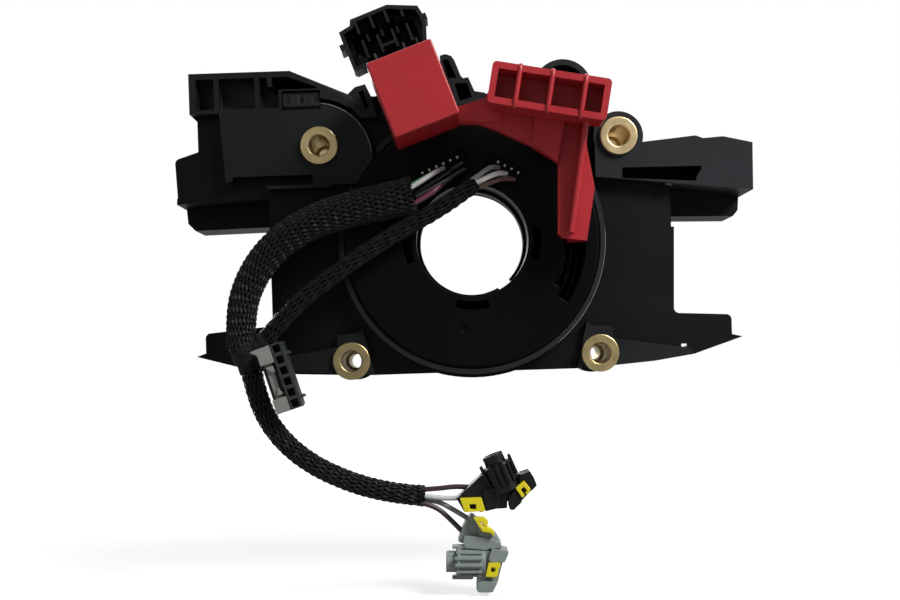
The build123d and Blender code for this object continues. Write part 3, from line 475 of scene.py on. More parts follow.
# start on the rotor, two places between, and the end inside the sleeve or plug
wire_runs = {
    "wires_left": (
        "wire_mixed",
        (
            (
                "green",
                ((-14.7, 21.8, 35.6), (-15.8, 20.6, 39.0), (-17.0, 19.4, 41.8), (-19.3, 18.2, 42.3)),
            ),
            (
                "pale",
                ((-8.9, 24.3, 35.6), (-11.0, 22.8, 40.5), (-15.0, 19.6, 45.0), (-19.6, 16.9, 45.0)),
            ),
            (
                "black",
                ((-2.7, 25.8, 35.6), (-6.0, 23.2, 38.4), (-13.0, 18.6, 40.6), (-19.3, 15.0, 40.7)),
            ),
            (
                "slate",
                ((-1.8, 23.8, 35.6), (-5.6, 21.0, 39.6), (-13.0, 16.6, 43.2), (-19.1, 13.6, 43.3)),
            ),
            (
                "maroon",
                ((-6.7, 21.7, 35.6), (-8.6, 19.4, 40.4), (-13.0, 14.8, 44.2), (-18.8, 11.9, 44.0)),
            ),
        ),
    ),
    "wires_right": (
        "wire_light",
        (
            ("grey", ((9.4, 24.0, 35.6), (7.6, 23.8, 39.6), (4.4, 21.8, 42.6), (0.0, 18.8, 42.9))),
            ("white", ((12.0, 21.8, 35.6), (10.2, 21.8, 39.6), (6.2, 20.2, 42.6), (0.8, 17.7, 42.4))),
            ("tan", ((14.6, 19.9, 35.6), (11.4, 20.1, 38.2), (6.6, 18.6, 40.6), (1.6, 16.6, 41.0))),
        ),
    ),
    "wires_to_black": (
        "wire_mixed",
        (
            (
                "dark_red",
                ((-19.4, -81.7, 42.6), (-14.0, -81.6, 42.4), (-8.0, -81.0, 42.2), (-3.9, -81.5, 42.0)),
            ),
            (
                "pale",
                ((-19.4, -83.7, 43.2), (-14.6, -84.4, 43.0), (-11.0, -84.9, 42.4), (-7.0, -84.9, 42.0)),
            ),
        ),
    ),
    "wires_to_grey": (
        "wire_mixed",
        (
            (
                "grey",
                ((-19.6, -85.2, 40.6), (-14.8, -85.6, 40.8), (-9.4, -88.6, 41.6), (-3.9, -92.2, 42.0)),
            ),
            (
                "dark_red",
                ((-19.7, -86.0, 43.2), (-15.2, -87.2, 43.0), (-10.8, -91.2, 42.4), (-6.1, -96.5, 42.0)),
            ),
        ),
    ),
}
wires = {}
for node, (slot, runs) in wire_runs.items():
    wires[node] = [
        wire(f"{node}_{colour}", points, wire_colours[colour]) for colour, points in runs
    ]
    for piece in wires[node]:
        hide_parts(node)

# ---------------------------------------------------------------- taped junction
# The three sleeves meet in one bundle, bound by hand with overlapping turns of black cloth tape. It
# is lumpy where the sleeves' ends lie under the tape.
def tape_finish(name, colour):
    """Woven cloth tape: a fine square weave and matt, dusty high spots."""
    material, tree, shader = principled(name, Specular_IOR_Level=0.15)
    place = object_place(tree)
    across, _, up = axes(tree, place)
    thread_pitch = 0.0006
    thread_turns = 2 * math.pi / thread_pitch
    threads = (across * thread_turns).maths("SINE") * (up * thread_turns).maths("SINE")
    dust = noise(tree, place, 0.002, 3.0)
    connect(
        tree,
        shader,
        Base_Color=blend_colours(tree, dust, colour, paler(colour, 3.0)),
        Roughness=0.65 + 0.2 * dust,
        Normal=bump(tree, threads + dust * 2.0, 0.00012, 0.7),
    )
    return material


def bound_limb(vertices, faces, start, end, start_radius, end_radius, turns):
    """Adds one limb of the bundle, with a step for each turn of tape."""
    start, end = Vector(start), Vector(end)
    way = (end - start).normalized()
    side = way.cross(Vector((0, 1, 0))).normalized()
    up = way.cross(side)
    rings, points, tape_step, broad, small = 8 * turns, 28, 0.00035, 0.05, 0.03
    base = len(vertices)
    for ring in range(rings + 1):
        share = ring / rings
        radius = start_radius + (end_radius - start_radius) * share
        radius += tape_step * ((share * turns) % 1.0 - 0.5)
        centre = start.lerp(end, share)
        for point in range(points):
            angle = 2 * math.pi * point / points
            lump = 1 + broad * math.sin(3 * angle + 5 * share)
            lump += small * math.sin(7 * angle - 9 * share)
            offset = (side * math.cos(angle) + up * math.sin(angle)) * radius * lump
            vertices.append(centre + offset)
    for ring in range(rings):
        for point in range(points):
            following = (point + 1) % points
            low, high = base + ring * points, base + (ring + 1) * points
            faces.append((low + point, low + following, high + following, high + point))
    faces.append(tuple(base + point for point in reversed(range(points))))
    faces.append(tuple(base + rings * points + point for point in range(points)))


tape_black = tape_finish("cloth tape", (0.0035, 0.0035, 0.0038))
bundle_middle = (-0.0755, -0.0417, -0.0365)
vertices, faces = [], []
bound_limb(vertices, faces, (-0.0770, -0.042, -0.0322), bundle_middle, 0.0047, 0.0044, 4)
bound_limb(vertices, faces, bundle_middle, (-0.0739, -0.042, -0.0415), 0.0044, 0.0035, 5)
bound_limb(vertices, faces, (-0.0688, -0.042, -0.0308), bundle_middle, 0.0031, 0.0034, 4)
mesh = bpy.data.meshes.new("junction")
mesh.from_pydata(vertices, [], faces)
junction = bpy.data.objects.new("taped_junction", mesh)
scene.collection.objects.link(junction)
remesh = junction.modifiers.new("skin", "REMESH")
remesh.mode = "VOXEL"
remesh.voxel_size = 0.00035
soften = junction.modifiers.new("soften", "SMOOTH")
soften.iterations = 3
skin = plain_mesh(junction, "taped_bundle")
bpy.data.objects.remove(junction)
skin.data.materials.append(tape_black)
skin.data.shade_smooth()
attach(skin, "rotor")
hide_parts("junction_wrap")

# ---------------------------------------------------------------- bracket
# The steering column switch bracket: one large injection moulding of glass-filled nylon. Its colour has
# painted light and shade: greyer on the front faces and to the right, black in the recesses and to the
# left.
def moulded(name, colour, grain, dullness, shine, mottle=0.35):
    """Injection moulded plastic: grain of this size, a dullness, and a mottle over larger areas."""
    material, tree, shader = principled(name, Specular_IOR_Level=shine)
    place = object_place(tree)
    wide = noise(tree, place, 0.03, 3.0)
    fine = noise(tree, place, grain, 2.0, 0.6)
    dark, light = paler(colour, 1.0 - mottle), paler(colour, 1.0 + mottle)
    connect(
        tree,
        shader,
        Base_Color=blend_colours(tree, (wide - 0.5) * 1.6 + 0.5 + (fine - 0.5) * 0.5, dark, light),
        Roughness=dullness + 0.16 * (fine - 0.5) + 0.12 * (wide - 0.5),
        Normal=bump(tree, fine, grain * 0.08, 0.5),
    )
    return material


forwards = Matrix(((1, 0, 0, 0), (0, 0, -1, 0), (0, 1, 0, 0), (0, 0, 0, 1)))


def prism(work, place, near, far, corners, hole=None):
    """A straight block between two depths in mm; the hole has as many corners as the outline."""
    loops = [corners, hole] if hole else [corners]
    rings = [
        [[work.verts.new(place @ Vector((u, v, end)) / 1000) for u, v in loop] for end in (near, far)]
        for loop in loops
    ]
    for ring_near, ring_far in rings:
        for i in range(len(ring_near)):
            work.faces.new((ring_near[i - 1], ring_near[i], ring_far[i], ring_far[i - 1]))
    for end in (0, 1):
        if hole:
            outer, inner = rings[0][end], rings[1][end]
            for i in range(len(outer)):
                work.faces.new((outer[i - 1], outer[i], inner[i], inner[i - 1]))
        else:
            work.faces.new(rings[0][end])


def block_object(name, blocks):
    """An object made of blocks, each given as prism takes it."""
    work = bmesh.new()
    for block in blocks:
        prism(work, *block)
    bmesh.ops.recalc_face_normals(work, faces=work.faces)
    mesh = bpy.data.meshes.new(name)
    work.to_mesh(mesh)
    work.free()
    holder = bpy.data.objects.new(name, mesh)
    scene.collection.objects.link(holder)
    return holder


def rounded(source, node, body, finish, width, segments=2):
    """Rounds a moulding's edges a little and gives it a node's place."""
    bevel = source.modifiers.new("edges", "BEVEL")
    bevel.width = width
    bevel.segments = segments
    bevel.limit_method = "ANGLE"
    bevel.angle_limit = math.radians(35)
    shaped = plain_mesh(source, f"{node}_moulding")
    bpy.data.objects.remove(source)
    shaped.data.materials.clear()
    shaped.data.materials.append(finish)
    shaped.data.shade_smooth()
    shaped.data.set_sharp_from_angle(angle=math.radians(40))
    level = shaped.modifiers.new("flat faces", "WEIGHTED_NORMAL")
    level.keep_sharp = True
    piece = plain_mesh(shaped, f"{node}_piece")
    bpy.data.objects.remove(shaped)
    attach(piece, body)
    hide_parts(node)
    return piece


def softened(node, body, finish, width, segments=2, fill=(), cut=(), extra=()):
    """A node's shape with blocks filled in, cut away and set beside it, and its edges rounded."""
    mesh = nodes[node].data.copy()
    work = bmesh.new()
    work.from_mesh(mesh)
    bmesh.ops.remove_doubles(work, verts=work.verts, dist=1e-6)
    bmesh.ops.dissolve_limit(work, angle_limit=math.radians(1), verts=work.verts, edges=work.edges)
    work.to_mesh(mesh)
    work.free()
    source = bpy.data.objects.new(f"{node}_source", mesh)
    scene.collection.objects.link(source)
    for operation, blocks in (("UNION", fill), ("DIFFERENCE", cut)):
        if blocks:
            tool = block_object(f"{node}_{operation.lower()}", blocks)
            change = source.modifiers.new(operation.lower(), "BOOLEAN")
            change.operation = operation
            change.object = tool
            change.use_self = True
            changed = plain_mesh(source, f"{node}_changed")
            bpy.data.objects.remove(source)
            bpy.data.objects.remove(tool)
            source = changed
    if extra:
        work = bmesh.new()
        work.from_mesh(source.data)
        for block in extra:
            first = len(work.faces)
            prism(work, *block)
            work.faces.ensure_lookup_table()
            bmesh.ops.recalc_face_normals(work, faces=work.faces[first:])
        work.to_mesh(source.data)
        work.free()
    return rounded(source, node, body, finish, width, segments)


def dressed(node, finish):
    """Gives a node its finish and keeps its shape."""
    for slot in nodes[node].material_slots:
        slot.material = finish


def grained_nylon(name, shaded_tone, lit_tone):
    """Glass-filled nylon, grained all over, with painted shade that makes the recesses black and
    painted light that makes the raised faces greyer.
    """
    material, tree, shader = principled(name, Specular_IOR_Level=0.1)
    place = object_place(tree)
    wide = noise(tree, place, 0.025, 4.0)
    fine = noise(tree, place, 0.00035, 2.0, 0.6)
    across, back, up = axes(tree, place)
    # the floor of the cable tray is painted paler than the raised faces: painted light on a floor that
    # its walls shade
    tray = (up > 0.0455) * (up < 0.0575) * (across > -0.0915) * (across < -0.062)
    tray = tray * (back > -0.0305) * (back < -0.024)
    # painted light and shade: greyer on the front faces and towards the right, where the light falls,
    # darker in the recesses and to the left, where shade falls; and paler on the back
    painted_front_light = slope(tree, back - tray * 0.008, -0.0305, -0.0336)
    painted_right_light = slope(tree, across, -0.07, 0.06, 0.4, 1.0)
    behind = slope(tree, back, -0.012, -0.003, 0.0, 0.6)
    painted_recess_light = 0.22 * painted_right_light * painted_right_light
    painted_front_shading = (painted_front_light * (1.0 - painted_recess_light) + painted_recess_light) * painted_right_light
    # grey carries the painted light and shade; its wide noise is the nylon's own uneven tone, and on
    # the tray's floor it is three times paler
    grey = painted_front_shading.maths("MAXIMUM", behind) * (0.7 + 0.6 * wide) * (0.33 + 0.67 * tray)
    connect(
        tree,
        shader,
        Base_Color=blend_colours(tree, grey, shaded_tone, paler(lit_tone, 3.0)),
        Roughness=0.5 + 0.14 * (fine - 0.5) + 0.14 * (wide - 0.5),
        Normal=bump(tree, fine, 0.00003, 0.5),
    )
    return material


# black for the shaded recesses and grey for the lit faces: painted shade and painted light
bracket_black = grained_nylon("grained nylon black", (0.0008, 0.0008, 0.0008), (0.020, 0.0215, 0.024))
# raised plate's step, floors under the wings, their side walls, the wedge slot and the tray's floor
bracket_fill = (
    (29.9, 34.0, ((-52.7, 22.6), (-52.4, 20.8), (-46.4, 20.6), (-46.4, 22.6))),
    (8.1, 29.9, ((-99.5, 15.0), (-66.1, 16.4), (-66.1, 19.4), (-99.3, 18.0))),
    (8.1, 33.9, ((94.6, 13.6), (94.5, 16.4), (65.4, 19.6), (65.4, 16.6))),
    (8.1, 29.9, ((-68.3, 16.4), (-66.1, 16.4), (-66.1, 4.0), (-68.3, 4.0))),
    (8.1, 29.9, ((67.6, 16.6), (65.4, 16.6), (65.4, 4.0), (67.6, 4.0))),
    (28.0, 34.0, ((51.0, 24.9), (78.0, 25.1), (77.9, 22.7), (51.1, 23.0))),
    (23.8, 26.0, ((-67.2, 46.2), (-62.6, 46.2), (-62.6, 52.8), (-67.2, 52.8))),
)
bracket_cut = (
    (5.0, 36.0, ((-101.0, 15.85), (-68.3, 17.3), (-68.3, 3.0), (-101.0, 3.0))),
    (5.0, 36.0, ((96.0, 14.05), (67.6, 17.3), (67.6, 3.0), (96.0, 3.0))),
    (
        30.01,
        36.0,
        (
            (-85.0, 22.4), (-81.7, 22.4), (-80.2, 22.1), (-79.2, 24.0), (-52.7, 24.0),
            (-52.7, 20.7), (-85.0, 20.7),
        ),
    ),
    (30.01, 36.0, ((-46.5, 20.5), (-36.5, 20.4), (-36.5, 19.3), (-46.5, 19.3))),
    (16.0, 36.0, ((51.0, 19.4), (51.1, 22.9), (76.8, 22.6), (76.6, 21.3), (75.6, 17.7))),
)
left_block = ((-68.3, 8.8), (-96.3, 8.4), (-98.7, 10.9), (-99.1, 16.2), (-68.3, 18.2))
left_inside = ((-70.5, 11.0), (-95.4, 10.6), (-96.5, 11.8), (-96.9, 14.2), (-70.5, 15.9))
right_block = ((67.6, 8.0), (91.9, 7.4), (93.6, 9.4), (94.0, 14.6), (67.6, 18.2))
right_inside = ((69.8, 10.2), (91.0, 9.6), (91.4, 10.3), (91.8, 12.7), (69.8, 15.8))
softened(
    "bracket_housing",
    "bracket",
    bracket_black,
    width=0.00025,
    fill=[(forwards, near, far, corners) for near, far, corners in bracket_fill],
    cut=[(forwards, near, far, corners) for near, far, corners in bracket_cut],
    extra=(
        (forwards, 1.0, 15.0, left_block, left_inside),
        (forwards, 15.0, 17.0, left_block),
        (forwards, 1.0, 15.0, right_block, right_inside),
        (forwards, 15.0, 17.0, right_block),
    ),
)


def rod(name, points, radius, ends_in):
    """A round bar along points in metres. Its ends are drawn in to this share of the radius."""
    holder = smooth_line(name, points, 8, radius, 3)
    ends = holder.data.splines[0].points
    ends[0].radius = ends[-1].radius = ends_in
    piece = plain_mesh(holder, f"{name}_bar")
    bpy.data.objects.remove(holder)
    return piece


def arc(x, z, depth, radius, first, last, count=24):
    """Places in metres along an arc seen from the front; angles in degrees."""
    places = []
    for i in range(count):
        turn = math.radians(first + (last - first) * i / (count - 1))
        across, up = radius * math.cos(turn), radius * math.sin(turn)
        places.append(Vector((x + across, -depth, z + up)) / 1000)
    return places


# thin pale bars along the lobe's edge and the lip round the rotor: painted highlights where these edges
# catch the light
painted_highlight_edge = moulded(
    "painted highlight edge", (0.2, 0.205, 0.21), grain=0.0004, dullness=0.3, shine=0.6, mottle=0.3
)
for name, points, radius in (
    ("lobe_edge", arc(-51.5, 29.0, 34.0, 18.92, 84, -4), 0.00013),
    ("lip_edge", arc(0, 0, 35.2, 44.5, 4, -52), 0.00010),
):
    edge = rod(name, points, radius, 0.3)
    edge.data.materials.append(painted_highlight_edge)
    edge.data.shade_smooth()
    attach(edge, "bracket")

# ---------------------------------------------------------------- brass inserts
# Four flanged, threaded bushes of free-cutting brass, turned on a lathe and moulded in. The flange
# face shows the fine rings of the facing cut.
def turned_brass(name, colour, centre):
    """Lathe-turned brass: fine rings round the bush's own axis and a slight tarnish."""
    material, tree, shader = principled(name, Metallic=1.0, Specular_IOR_Level=0.5)
    place = object_place(tree)
    ring_pitch = 0.00022
    across, _, up = axes(tree, place)
    off_x, off_z = across - centre[0], up - centre[1]
    distance = (off_x * off_x + off_z * off_z).maths("SQRT")
    rings = (distance * (2 * math.pi / ring_pitch)).maths("SINE")
    uneven = noise(tree, place, 0.0035, 4.0)
    fine = noise(tree, place, 0.0003, 2.0)
    connect(
        tree,
        shader,
        Base_Color=blend_colours(tree, uneven, paler(colour, 0.62), colour),
        Roughness=0.34 + 0.12 * uneven + 0.04 * rings,
        Normal=bump(tree, rings * 0.5 + fine, 0.00001, 0.5),
    )
    return material


# the middle of each flange, and its brass colour with painted light and shade: palest at the upper
# right, towards the key lamp, darkest at the lower left
inserts = {
    "insert_upper_left": ((-0.0501, 0.0335), (0.62, 0.49, 0.25)),
    "insert_upper_right": ((0.0501, 0.0335), (0.97, 0.77, 0.42)),
    "insert_lower_left": ((-0.0418, -0.0389), (0.40, 0.32, 0.16)),
    "insert_lower_right": ((0.0418, -0.0389), (0.57, 0.45, 0.22)),
}
for node, (centre, colour) in inserts.items():
    brass = turned_brass(f"{node} brass", colour, centre)
    softened(node, "bracket", brass, width=0.0002)

# ---------------------------------------------------------------- ribbon chamber
# Behind the rotor: a snap-on cover, a slippery film, and the laminated flat cable that winds and
# unwinds between them.
dressed(
    "rear_cover",
    moulded("cover black", (0.006, 0.006, 0.0065), grain=0.0003, dullness=0.45, shine=0.3),
)
dressed(
    "slip_sheet",
    moulded("slip film", (0.72, 0.71, 0.66), grain=0.0008, dullness=0.35, shine=0.4, mottle=0.06),
)
dressed(
    "ribbon_cable",
    moulded("flat cable", (0.006, 0.005, 0.004), grain=0.0008, dullness=0.6, shine=0.15),
)

# ---------------------------------------------------------------- column connector
# A deep shroud of black nylon with thin cell walls, moulded in one and fixed to the bracket's top.
# Tin-plated blades stand far down in its cells.
shroud_black = moulded(
    "shroud black", (0.0065, 0.0068, 0.007), grain=0.0003, dullness=0.42, shine=0.25
)
softened("connector_shroud", "bracket", shroud_black, width=0.00018)


def plated(name, colour, dullness):
    """Bright tin plate, a little uneven."""
    material, tree, shader = principled(name, Metallic=1.0)
    uneven = noise(tree, object_place(tree), 0.0006, 3.0)
    connect(
        tree,
        shader,
        Base_Color=blend_colours(tree, uneven, paler(colour, 0.7), colour),
        Roughness=dullness + 0.2 * uneven,
    )
    return material


dressed("shroud_terminals", plated("blade tin", (0.3, 0.29, 0.26), 0.3))

# ---------------------------------------------------------------- cable clip
# A small clip of black nylon, pushed into its pocket in the tray of the left wing, where it holds the
# column's cable.
clip_black = moulded("clip black", (0.009, 0.0092, 0.0095), grain=0.0003, dullness=0.5, shine=0.2)
softened("tray_clip", "bracket", clip_black, width=0.00025)

# ---------------------------------------------------------------- rotor
# The moulded disc that turns with the steering wheel, smooth and nearly black. Its hub snaps on from
# behind, and two rows of tinned pins come through to be soldered.
rotor_black = moulded(
    "rotor black", (0.0024, 0.0024, 0.0024), grain=0.0004, dullness=0.42, shine=0.06
)
# the hub in the bore is painted a deeper black than the disc, with no sheen: painted shade in the bore
hub_shade_black = moulded("hub black", (0.001, 0.001, 0.001), grain=0.0004, dullness=0.8, shine=0.0)
softened("rotor_disc", "rotor", rotor_black, width=0.00022)
softened("rotor_hub", "rotor", hub_shade_black, width=0.0002)
pin_tin = plated("solder tin", (0.85, 0.8, 0.7), 0.2)
for row in ("terminals_left", "terminals_right"):
    dressed(row, pin_tin)

# ---------------------------------------------------------------- six-way connector
# A grey receptacle with six square cells in a row, tied to the junction. Its paler secondary lock
# slides over the back of the cells.
six_grey = moulded("receptacle grey", (0.021, 0.025, 0.024), grain=0.0003, dullness=0.5, shine=0.2)
latch_grey = moulded(
    "secondary lock grey", (0.19, 0.19, 0.175), grain=0.0003, dullness=0.5, shine=0.3, mottle=0.12
)
six_housing = softened("six_way_housing", "rotor", six_grey, width=0.0002)
six_latch = softened("six_way_latch", "rotor", latch_grey, width=0.0002)

# ---------------------------------------------------------------- airbag connectors
# Two squib plugs, one black and one grey, each with a ribbed barrel that goes into the igniter, a
# wedge where the wires enter, a yellow retainer over them and a yellow lock between two ears.
def barrel_blocks(root, angle, depth, ribs):
    """The barrel: a round shell with a collar, longitudinal ribs in front and a tube inside. In mm."""
    turn = math.radians(angle)
    way = Vector((math.cos(turn), 0, math.sin(turn)))
    side = Vector((math.sin(turn), 0, -math.cos(turn)))
    ahead = Vector((0, -1, 0))
    lie = Matrix((side, ahead, way)).transposed().to_4x4()
    lie.translation = Vector((root[0], -depth, root[1]))

    def ring(radius, sides=20):
        steps = [2 * math.pi * (i + 0.5) / sides for i in range(sides)]
        return [(radius * math.cos(step), radius * math.sin(step)) for step in steps]

    shell, collar, bore, rib_front = 4.7, 5.2, 2.5, 5.8
    blocks = [(lie, -3.6, 5.9, ring(shell)), (lie, 4.6, 5.6, ring(collar))]
    blocks.append((lie, 3.0, 9.2, ring(bore + 1.0), ring(bore)))
    for middle, half, near, far in ribs:
        foot = math.sqrt(max((shell - 0.1) ** 2 - middle**2, 1.0)) - 0.8
        top = min(rib_front, foot + 2.0)
        left, right = middle - half, middle + half
        blocks.append((lie, near, far, ((left, foot), (right, foot), (right, top), (left, top))))
    for edge in (-1, 1):
        ear = ((4.4 * edge, -1.2), (5.5 * edge, -1.2), (5.5 * edge, 2.4), (4.4 * edge, 2.4))
        blocks.append((lie, 0.4, 7.2, ear))
    return blocks


squib_back = 37.7
barrel_depth = 43.6
# each rib: its middle, half its width, and where it starts and ends along the barrel
black_ribs = (
    (-2.1, 0.42, -1.6, 6.4),
    (-0.3, 0.5, -1.6, 6.4),
    (1.6, 0.5, -1.4, 6.2),
    (3.5, 0.5, -1.2, 5.8),
)
grey_ribs = (
    (3.4, 0.5, -2.6, 6.0),
    (1.7, 0.5, -2.6, 6.4),
    (-0.4, 0.55, -2.6, 6.4),
    (-2.6, 0.5, -2.4, 6.2),
    (-4.2, 0.4, -2.2, 5.6),
)
squib_barrels = {
    "black": barrel_blocks((7.3, -79.4), 112.0, barrel_depth, black_ribs),
    "grey": barrel_blocks((-3.0, -105.6), 178.0, barrel_depth, grey_ribs),
}
# outlines in mm seen from the front, with the depth of the front face, or of the back and the front
squib_bodies = {
    "black": (
        (45.2, ((-8.2, -84.7), (-0.1, -77.5), (3.6, -77.3), (3.6, -83.0), (1.4, -89.1), (-5.8, -89.1))),
        (46.2, ((0.4, -81.6), (4.1, -81.6), (6.3, -83.0), (6.3, -86.1), (4.6, -88.4), (1.2, -89.1))),
        (47.0, ((3.3, -77.3), (5.0, -77.2), (6.2, -81.6), (6.2, -85.6), (4.9, -85.6), (4.3, -81.7))),
        (
            44.6,
            (
                (4.9, -80.6), (10.2, -77.7), (12.5, -77.5), (11.1, -83.1), (8.4, -86.3),
                (8.3, -88.5), (4.6, -88.6),
            ),
        ),
        (
            45.4,
            (
                (8.8, -84.7), (12.1, -80.8), (12.7, -77.4), (15.9, -76.4), (18.1, -81.1),
                (10.3, -88.9), (9.0, -88.7),
            ),
        ),
        (47.0, ((8.8, -84.7), (10.9, -82.2), (13.1, -86.3), (10.3, -88.9), (9.0, -88.7))),
        (
            47.0,
            (
                (12.2, -80.4), (12.7, -77.4), (15.9, -76.4), (17.1, -78.4), (18.1, -81.1),
                (16.4, -82.8), (14.1, -79.0),
            ),
        ),
    ),
    "grey": (
        (
            44.6,
            (
                (-3.7, -90.3), (-2.6, -90.7), (1.0, -95.4), (4.3, -96.8), (5.9, -99.6),
                (6.0, -100.9), (2.8, -101.5), (-5.8, -99.8), (-8.1, -98.8), (-6.8, -95.1),
                (-5.4, -92.2),
            ),
        ),
        (
            45.6,
            (
                (-2.6, -91.6), (0.8, -95.8), (4.0, -96.9), (5.6, -99.4), (2.4, -98.6),
                (-1.4, -97.4), (-1.6, -95.4),
            ),
        ),
        (
            46.4,
            (
                (-6.1, -96.8), (-1.7, -97.0), (2.6, -98.0), (5.8, -99.4), (6.1, -101.1),
                (2.1, -101.3), (0.8, -101.7), (-5.9, -100.8), (-6.5, -99.0),
            ),
        ),
        (
            45.8,
            (
                (0.8, -101.6), (2.8, -102.4), (0.7, -111.7), (-2.2, -112.7), (-2.4, -111.3),
                (-1.1, -106.0),
            ),
        ),
        (45.2, ((1.6, -104.5), (6.6, -104.5), (4.3, -112.8), (-1.2, -112.4))),
        (
            47.0,
            ((2.7, -101.1), (8.1, -102.0), (8.1, -103.0), (6.8, -105.7), (2.3, -105.7), (1.5, -104.4)),
        ),
        (
            47.0,
            (
                (-0.6, -111.4), (4.4, -112.0), (2.6, -115.3), (-1.9, -115.2), (-2.6, -114.4),
                (-2.3, -112.2),
            ),
        ),
    ),
}
squib_retainers = {
    "black": (
        (
            45.0,
            48.2,
            ((-7.0, -84.5), (-0.1, -84.4), (1.1, -88.7), (-5.7, -88.9)),
            ((-4.1, -86.4), (-1.9, -86.4), (-1.9, -88.0), (-3.8, -88.0)),
        ),
        (45.0, 47.0, ((0.2, -87.0), (1.2, -88.8), (-0.6, -89.3), (-1.6, -88.0)), None),
    ),
    "grey": (
        (
            45.0,
            48.2,
            (
                (-3.0, -90.6), (0.7, -90.8), (1.9, -92.0), (1.5, -93.6), (0.3, -93.9), (0.1, -92.7),
                (-0.8, -92.1), (-2.0, -92.3),
            ),
            None,
        ),
        (
            45.0,
            48.2,
            (
                (-2.2, -92.0), (-0.8, -92.1), (0.3, -93.9), (1.7, -93.7), (3.7, -95.2),
                (3.5, -97.2), (2.5, -95.9), (-0.1, -95.5),
            ),
            None,
        ),
    ),
}
squib_locks = {
    "black": (
        (
            44.5,
            47.8,
            (
                (11.0, -81.6), (13.8, -79.3), (15.9, -82.0), (15.6, -83.0), (14.5, -84.0),
                (14.1, -83.3), (14.8, -82.7), (13.8, -81.4), (12.7, -82.2), (14.0, -84.2),
                (13.1, -85.0),
            ),
            None,
        ),
    ),
    "grey": (
        (
            44.5,
            47.8,
            (
                (1.5, -105.6), (5.3, -105.7), (5.3, -107.0), (4.6, -107.8), (4.5, -109.4),
                (3.8, -110.4), (0.4, -110.0),
            ),
            (
                (2.4, -107.1), (3.2, -107.1), (3.7, -107.5), (3.6, -108.0), (3.4, -108.5),
                (2.8, -108.7), (2.1, -108.5),
            ),
        ),
    ),
}
squib_finishes = {
    "black": moulded(
        "squib black", (0.0045, 0.0045, 0.0047), grain=0.0003, dullness=0.42, shine=0.25
    ),
    "grey": moulded(
        "squib grey", (0.2, 0.235, 0.22), grain=0.0003, dullness=0.45, shine=0.35, mottle=0.12
    ),
}
squib_yellow = moulded(
    "squib yellow", (0.66, 0.56, 0.015), grain=0.0003, dullness=0.38, shine=0.3, mottle=0.12
)
for tint, finish in squib_finishes.items():
    housing = [(forwards, squib_back, front, corners) for front, corners in squib_bodies[tint]]
    housing += squib_barrels[tint]
    retainer = [(forwards, *block) for block in squib_retainers[tint]]
    lock = [(forwards, *block) for block in squib_locks[tint]]
    for part, body, slot, look, rounding, blocks in (
        ("body", "rotor", f"squib_{tint}", finish, 0.0003, housing),
        ("retainer", "rotor", "squib_yellow", squib_yellow, 0.0003, retainer),
        ("lock", f"{tint}_pull", "squib_yellow", squib_yellow, 0.00025, lock),
    ):
        node = f"{tint}_squib_{part}"
        rounded(block_object(node, blocks), node, body, look, rounding)

# ---------------------------------------------------------------- transport lock
# One red moulding that holds the rotor centred until the part is fitted. A hood covers the column
# connector, a web bridges the rotor, and the ribbed grip is pulled forwards to take it off.
lock_red = moulded(
    "lock red", (0.35, 0.01, 0.016), grain=0.0004, dullness=0.42, shine=0.5, mottle=0.1
)
grip_tilt = math.radians(-10.8)
grip_across = Vector((math.cos(grip_tilt), 0, math.sin(grip_tilt)))
grip_up = Vector((-grip_across.z, 0, grip_across.x))
grip_middle = Vector((25.0, 0, 43.1))
rib_area = ((-20, 9), (20, 9), (20, -9), (-20, -9))
flat_ribs = [grip_middle + grip_across * x + grip_up * z for x, z in rib_area]
grip_front = 62.02
lock_piece = softened(
    "transport_lock",
    "lock",
    lock_red,
    width=0.0004,
    segments=3,
    cut=[(forwards, grip_front, 64.0, [(corner.x, corner.z) for corner in flat_ribs])],
)
# three round ribs wrap the grip from rim to rim, and a round bead runs down the fin
rib_radius, fin_radius = 0.00085, 0.00115
half_rib = ((6.7, 58.6), (6.75, 60.9), (5.6, 61.9), (2.0, 61.95))
rib_path = [*half_rib, *((-up, depth) for up, depth in reversed(half_rib))]
beads = []
for rib_place in (-10.1, 0.2, 10.7):
    foot = grip_middle + grip_across * rib_place
    points = [(foot + grip_up * up + Vector((0, -depth, 0))) / 1000 for up, depth in rib_path]
    beads.append(rod("grip_rib", points, rib_radius, 0.8))
fin_line = ((37.0, 34.6, 53.4), (35.9, 27.6, 52.6), (33.2, 10.6, 50.4), (31.5, 0.4, 48.8))
fin_points = [Vector((x, -depth, z)) / 1000 for x, z, depth in fin_line]
beads.append(rod("fin_bead", fin_points, fin_radius, 0.9))
work = bmesh.new()
work.from_mesh(lock_piece.data)
for bead in beads:
    bead.data.shade_smooth()
    work.from_mesh(bead.data)
    bpy.data.objects.remove(bead)
work.to_mesh(lock_piece.data)
work.free()

# ---------------------------------------------------------------- light, floor and background
# A plain pale floor below the part, soft lamps in front, above and behind, and white beyond.
world = bpy.data.worlds.new("studio")
scene.world = world
world.use_nodes = True
world_tree = world.node_tree
background = world_tree.nodes["Background"]
background.inputs["Color"].default_value = (1.0, 1.0, 1.0, 1.0)
path = Signal.node(world_tree, "ShaderNodeLightPath", {}, {}, "Is Camera Ray")
seen = path.maths("MAXIMUM", path.output("Is Transmission Ray"))
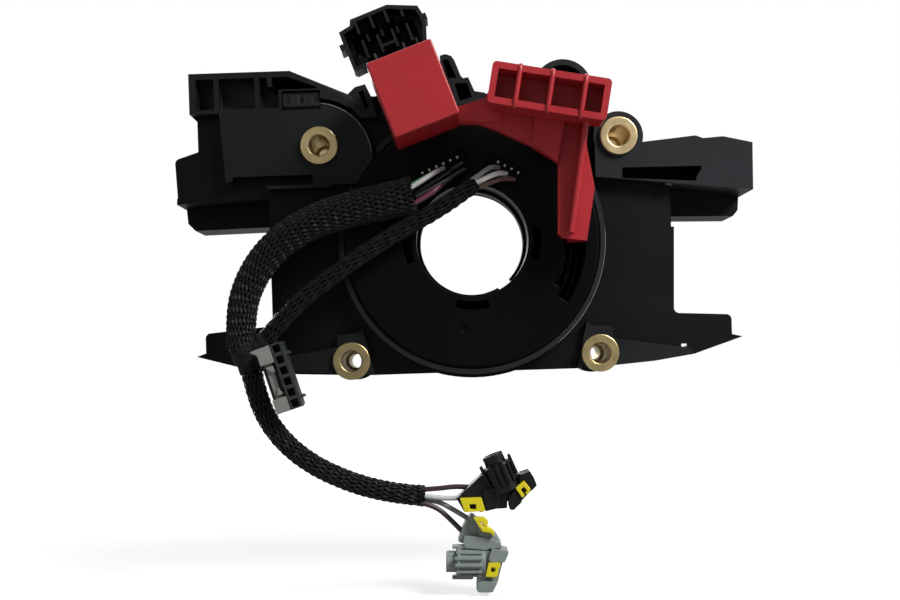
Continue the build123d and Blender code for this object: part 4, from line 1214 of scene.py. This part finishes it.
# a mirror-like surface sees white above and behind, and the darker room in front of the part
direction = Signal.node(world_tree, "ShaderNodeTexCoord", {}, {}, "Generated")
_, ahead, _ = axes(world_tree, direction)
room = slope(world_tree, ahead, -0.7, 0.7, 0.12, 1.0)
mirrored = path.output("Is Glossy Ray") * room * (1.0 - seen)
room_light = 0.08
plain = room_light * (1.0 - seen) * (1.0 - path.output("Is Glossy Ray"))
world_tree.links.new((seen + mirrored + plain).socket, background.inputs["Strength"])

floor_height = -0.1165
floor_reach = 4.0
floor_mesh = bpy.data.meshes.new("floor")
corners = ((-1, -1), (1, -1), (1, 1), (-1, 1))
places = [(floor_reach * x, floor_reach * y, floor_height) for x, y in corners]
floor_mesh.from_pydata(places, [], [(0, 1, 2, 3)])
floor = bpy.data.objects.new("floor", floor_mesh)
scene.collection.objects.link(floor)
floor_paint, floor_nodes, floor_shader = principled(
    "floor",
    Roughness=0.9,
    Specular_IOR_Level=0.0,
    Base_Color=(0.32, 0.32, 0.32, 1.0),
    Emission_Color=(1.0, 1.0, 1.0, 1.0),
)
# to the camera the floor glows, and away from the part it turns white
floor_path = Signal.node(floor_nodes, "ShaderNodeLightPath", {}, {}, "Is Camera Ray")
floor_seen = floor_path + 0.25 * floor_path.output("Is Glossy Ray")
floor_place = object_place(floor_nodes)
away = vector_maths(floor_nodes, "LENGTH", {0: floor_place}, "Value")
glow = slope(floor_nodes, away, 0.1, 0.6, 0.66, 1.0)
floor_nodes.links.new((glow * floor_seen).socket, floor_shader.inputs["Emission Strength"])
floor_mesh.materials.append(floor_paint)


def soft_light(name, place, size, watts):
    """A square lamp that faces the part."""
    data = bpy.data.lights.new(name, "AREA")
    data.size = size
    data.energy = watts
    lamp = bpy.data.objects.new(name, data)
    lamp.location = place
    lamp.rotation_euler = (-Vector(place)).to_track_quat("-Z", "Y").to_euler()
    scene.collection.objects.link(lamp)


soft_light("key", (0.85, -0.7, 0.85), 0.5, 27.0)
soft_light("fill", (-0.6, -1.2, 0.5), 0.8, 2.0)
soft_light("top", (0.0, 0.35, 1.1), 0.8, 2.5)
soft_light("back", (-0.6, 1.1, 0.6), 0.8, 16.0)
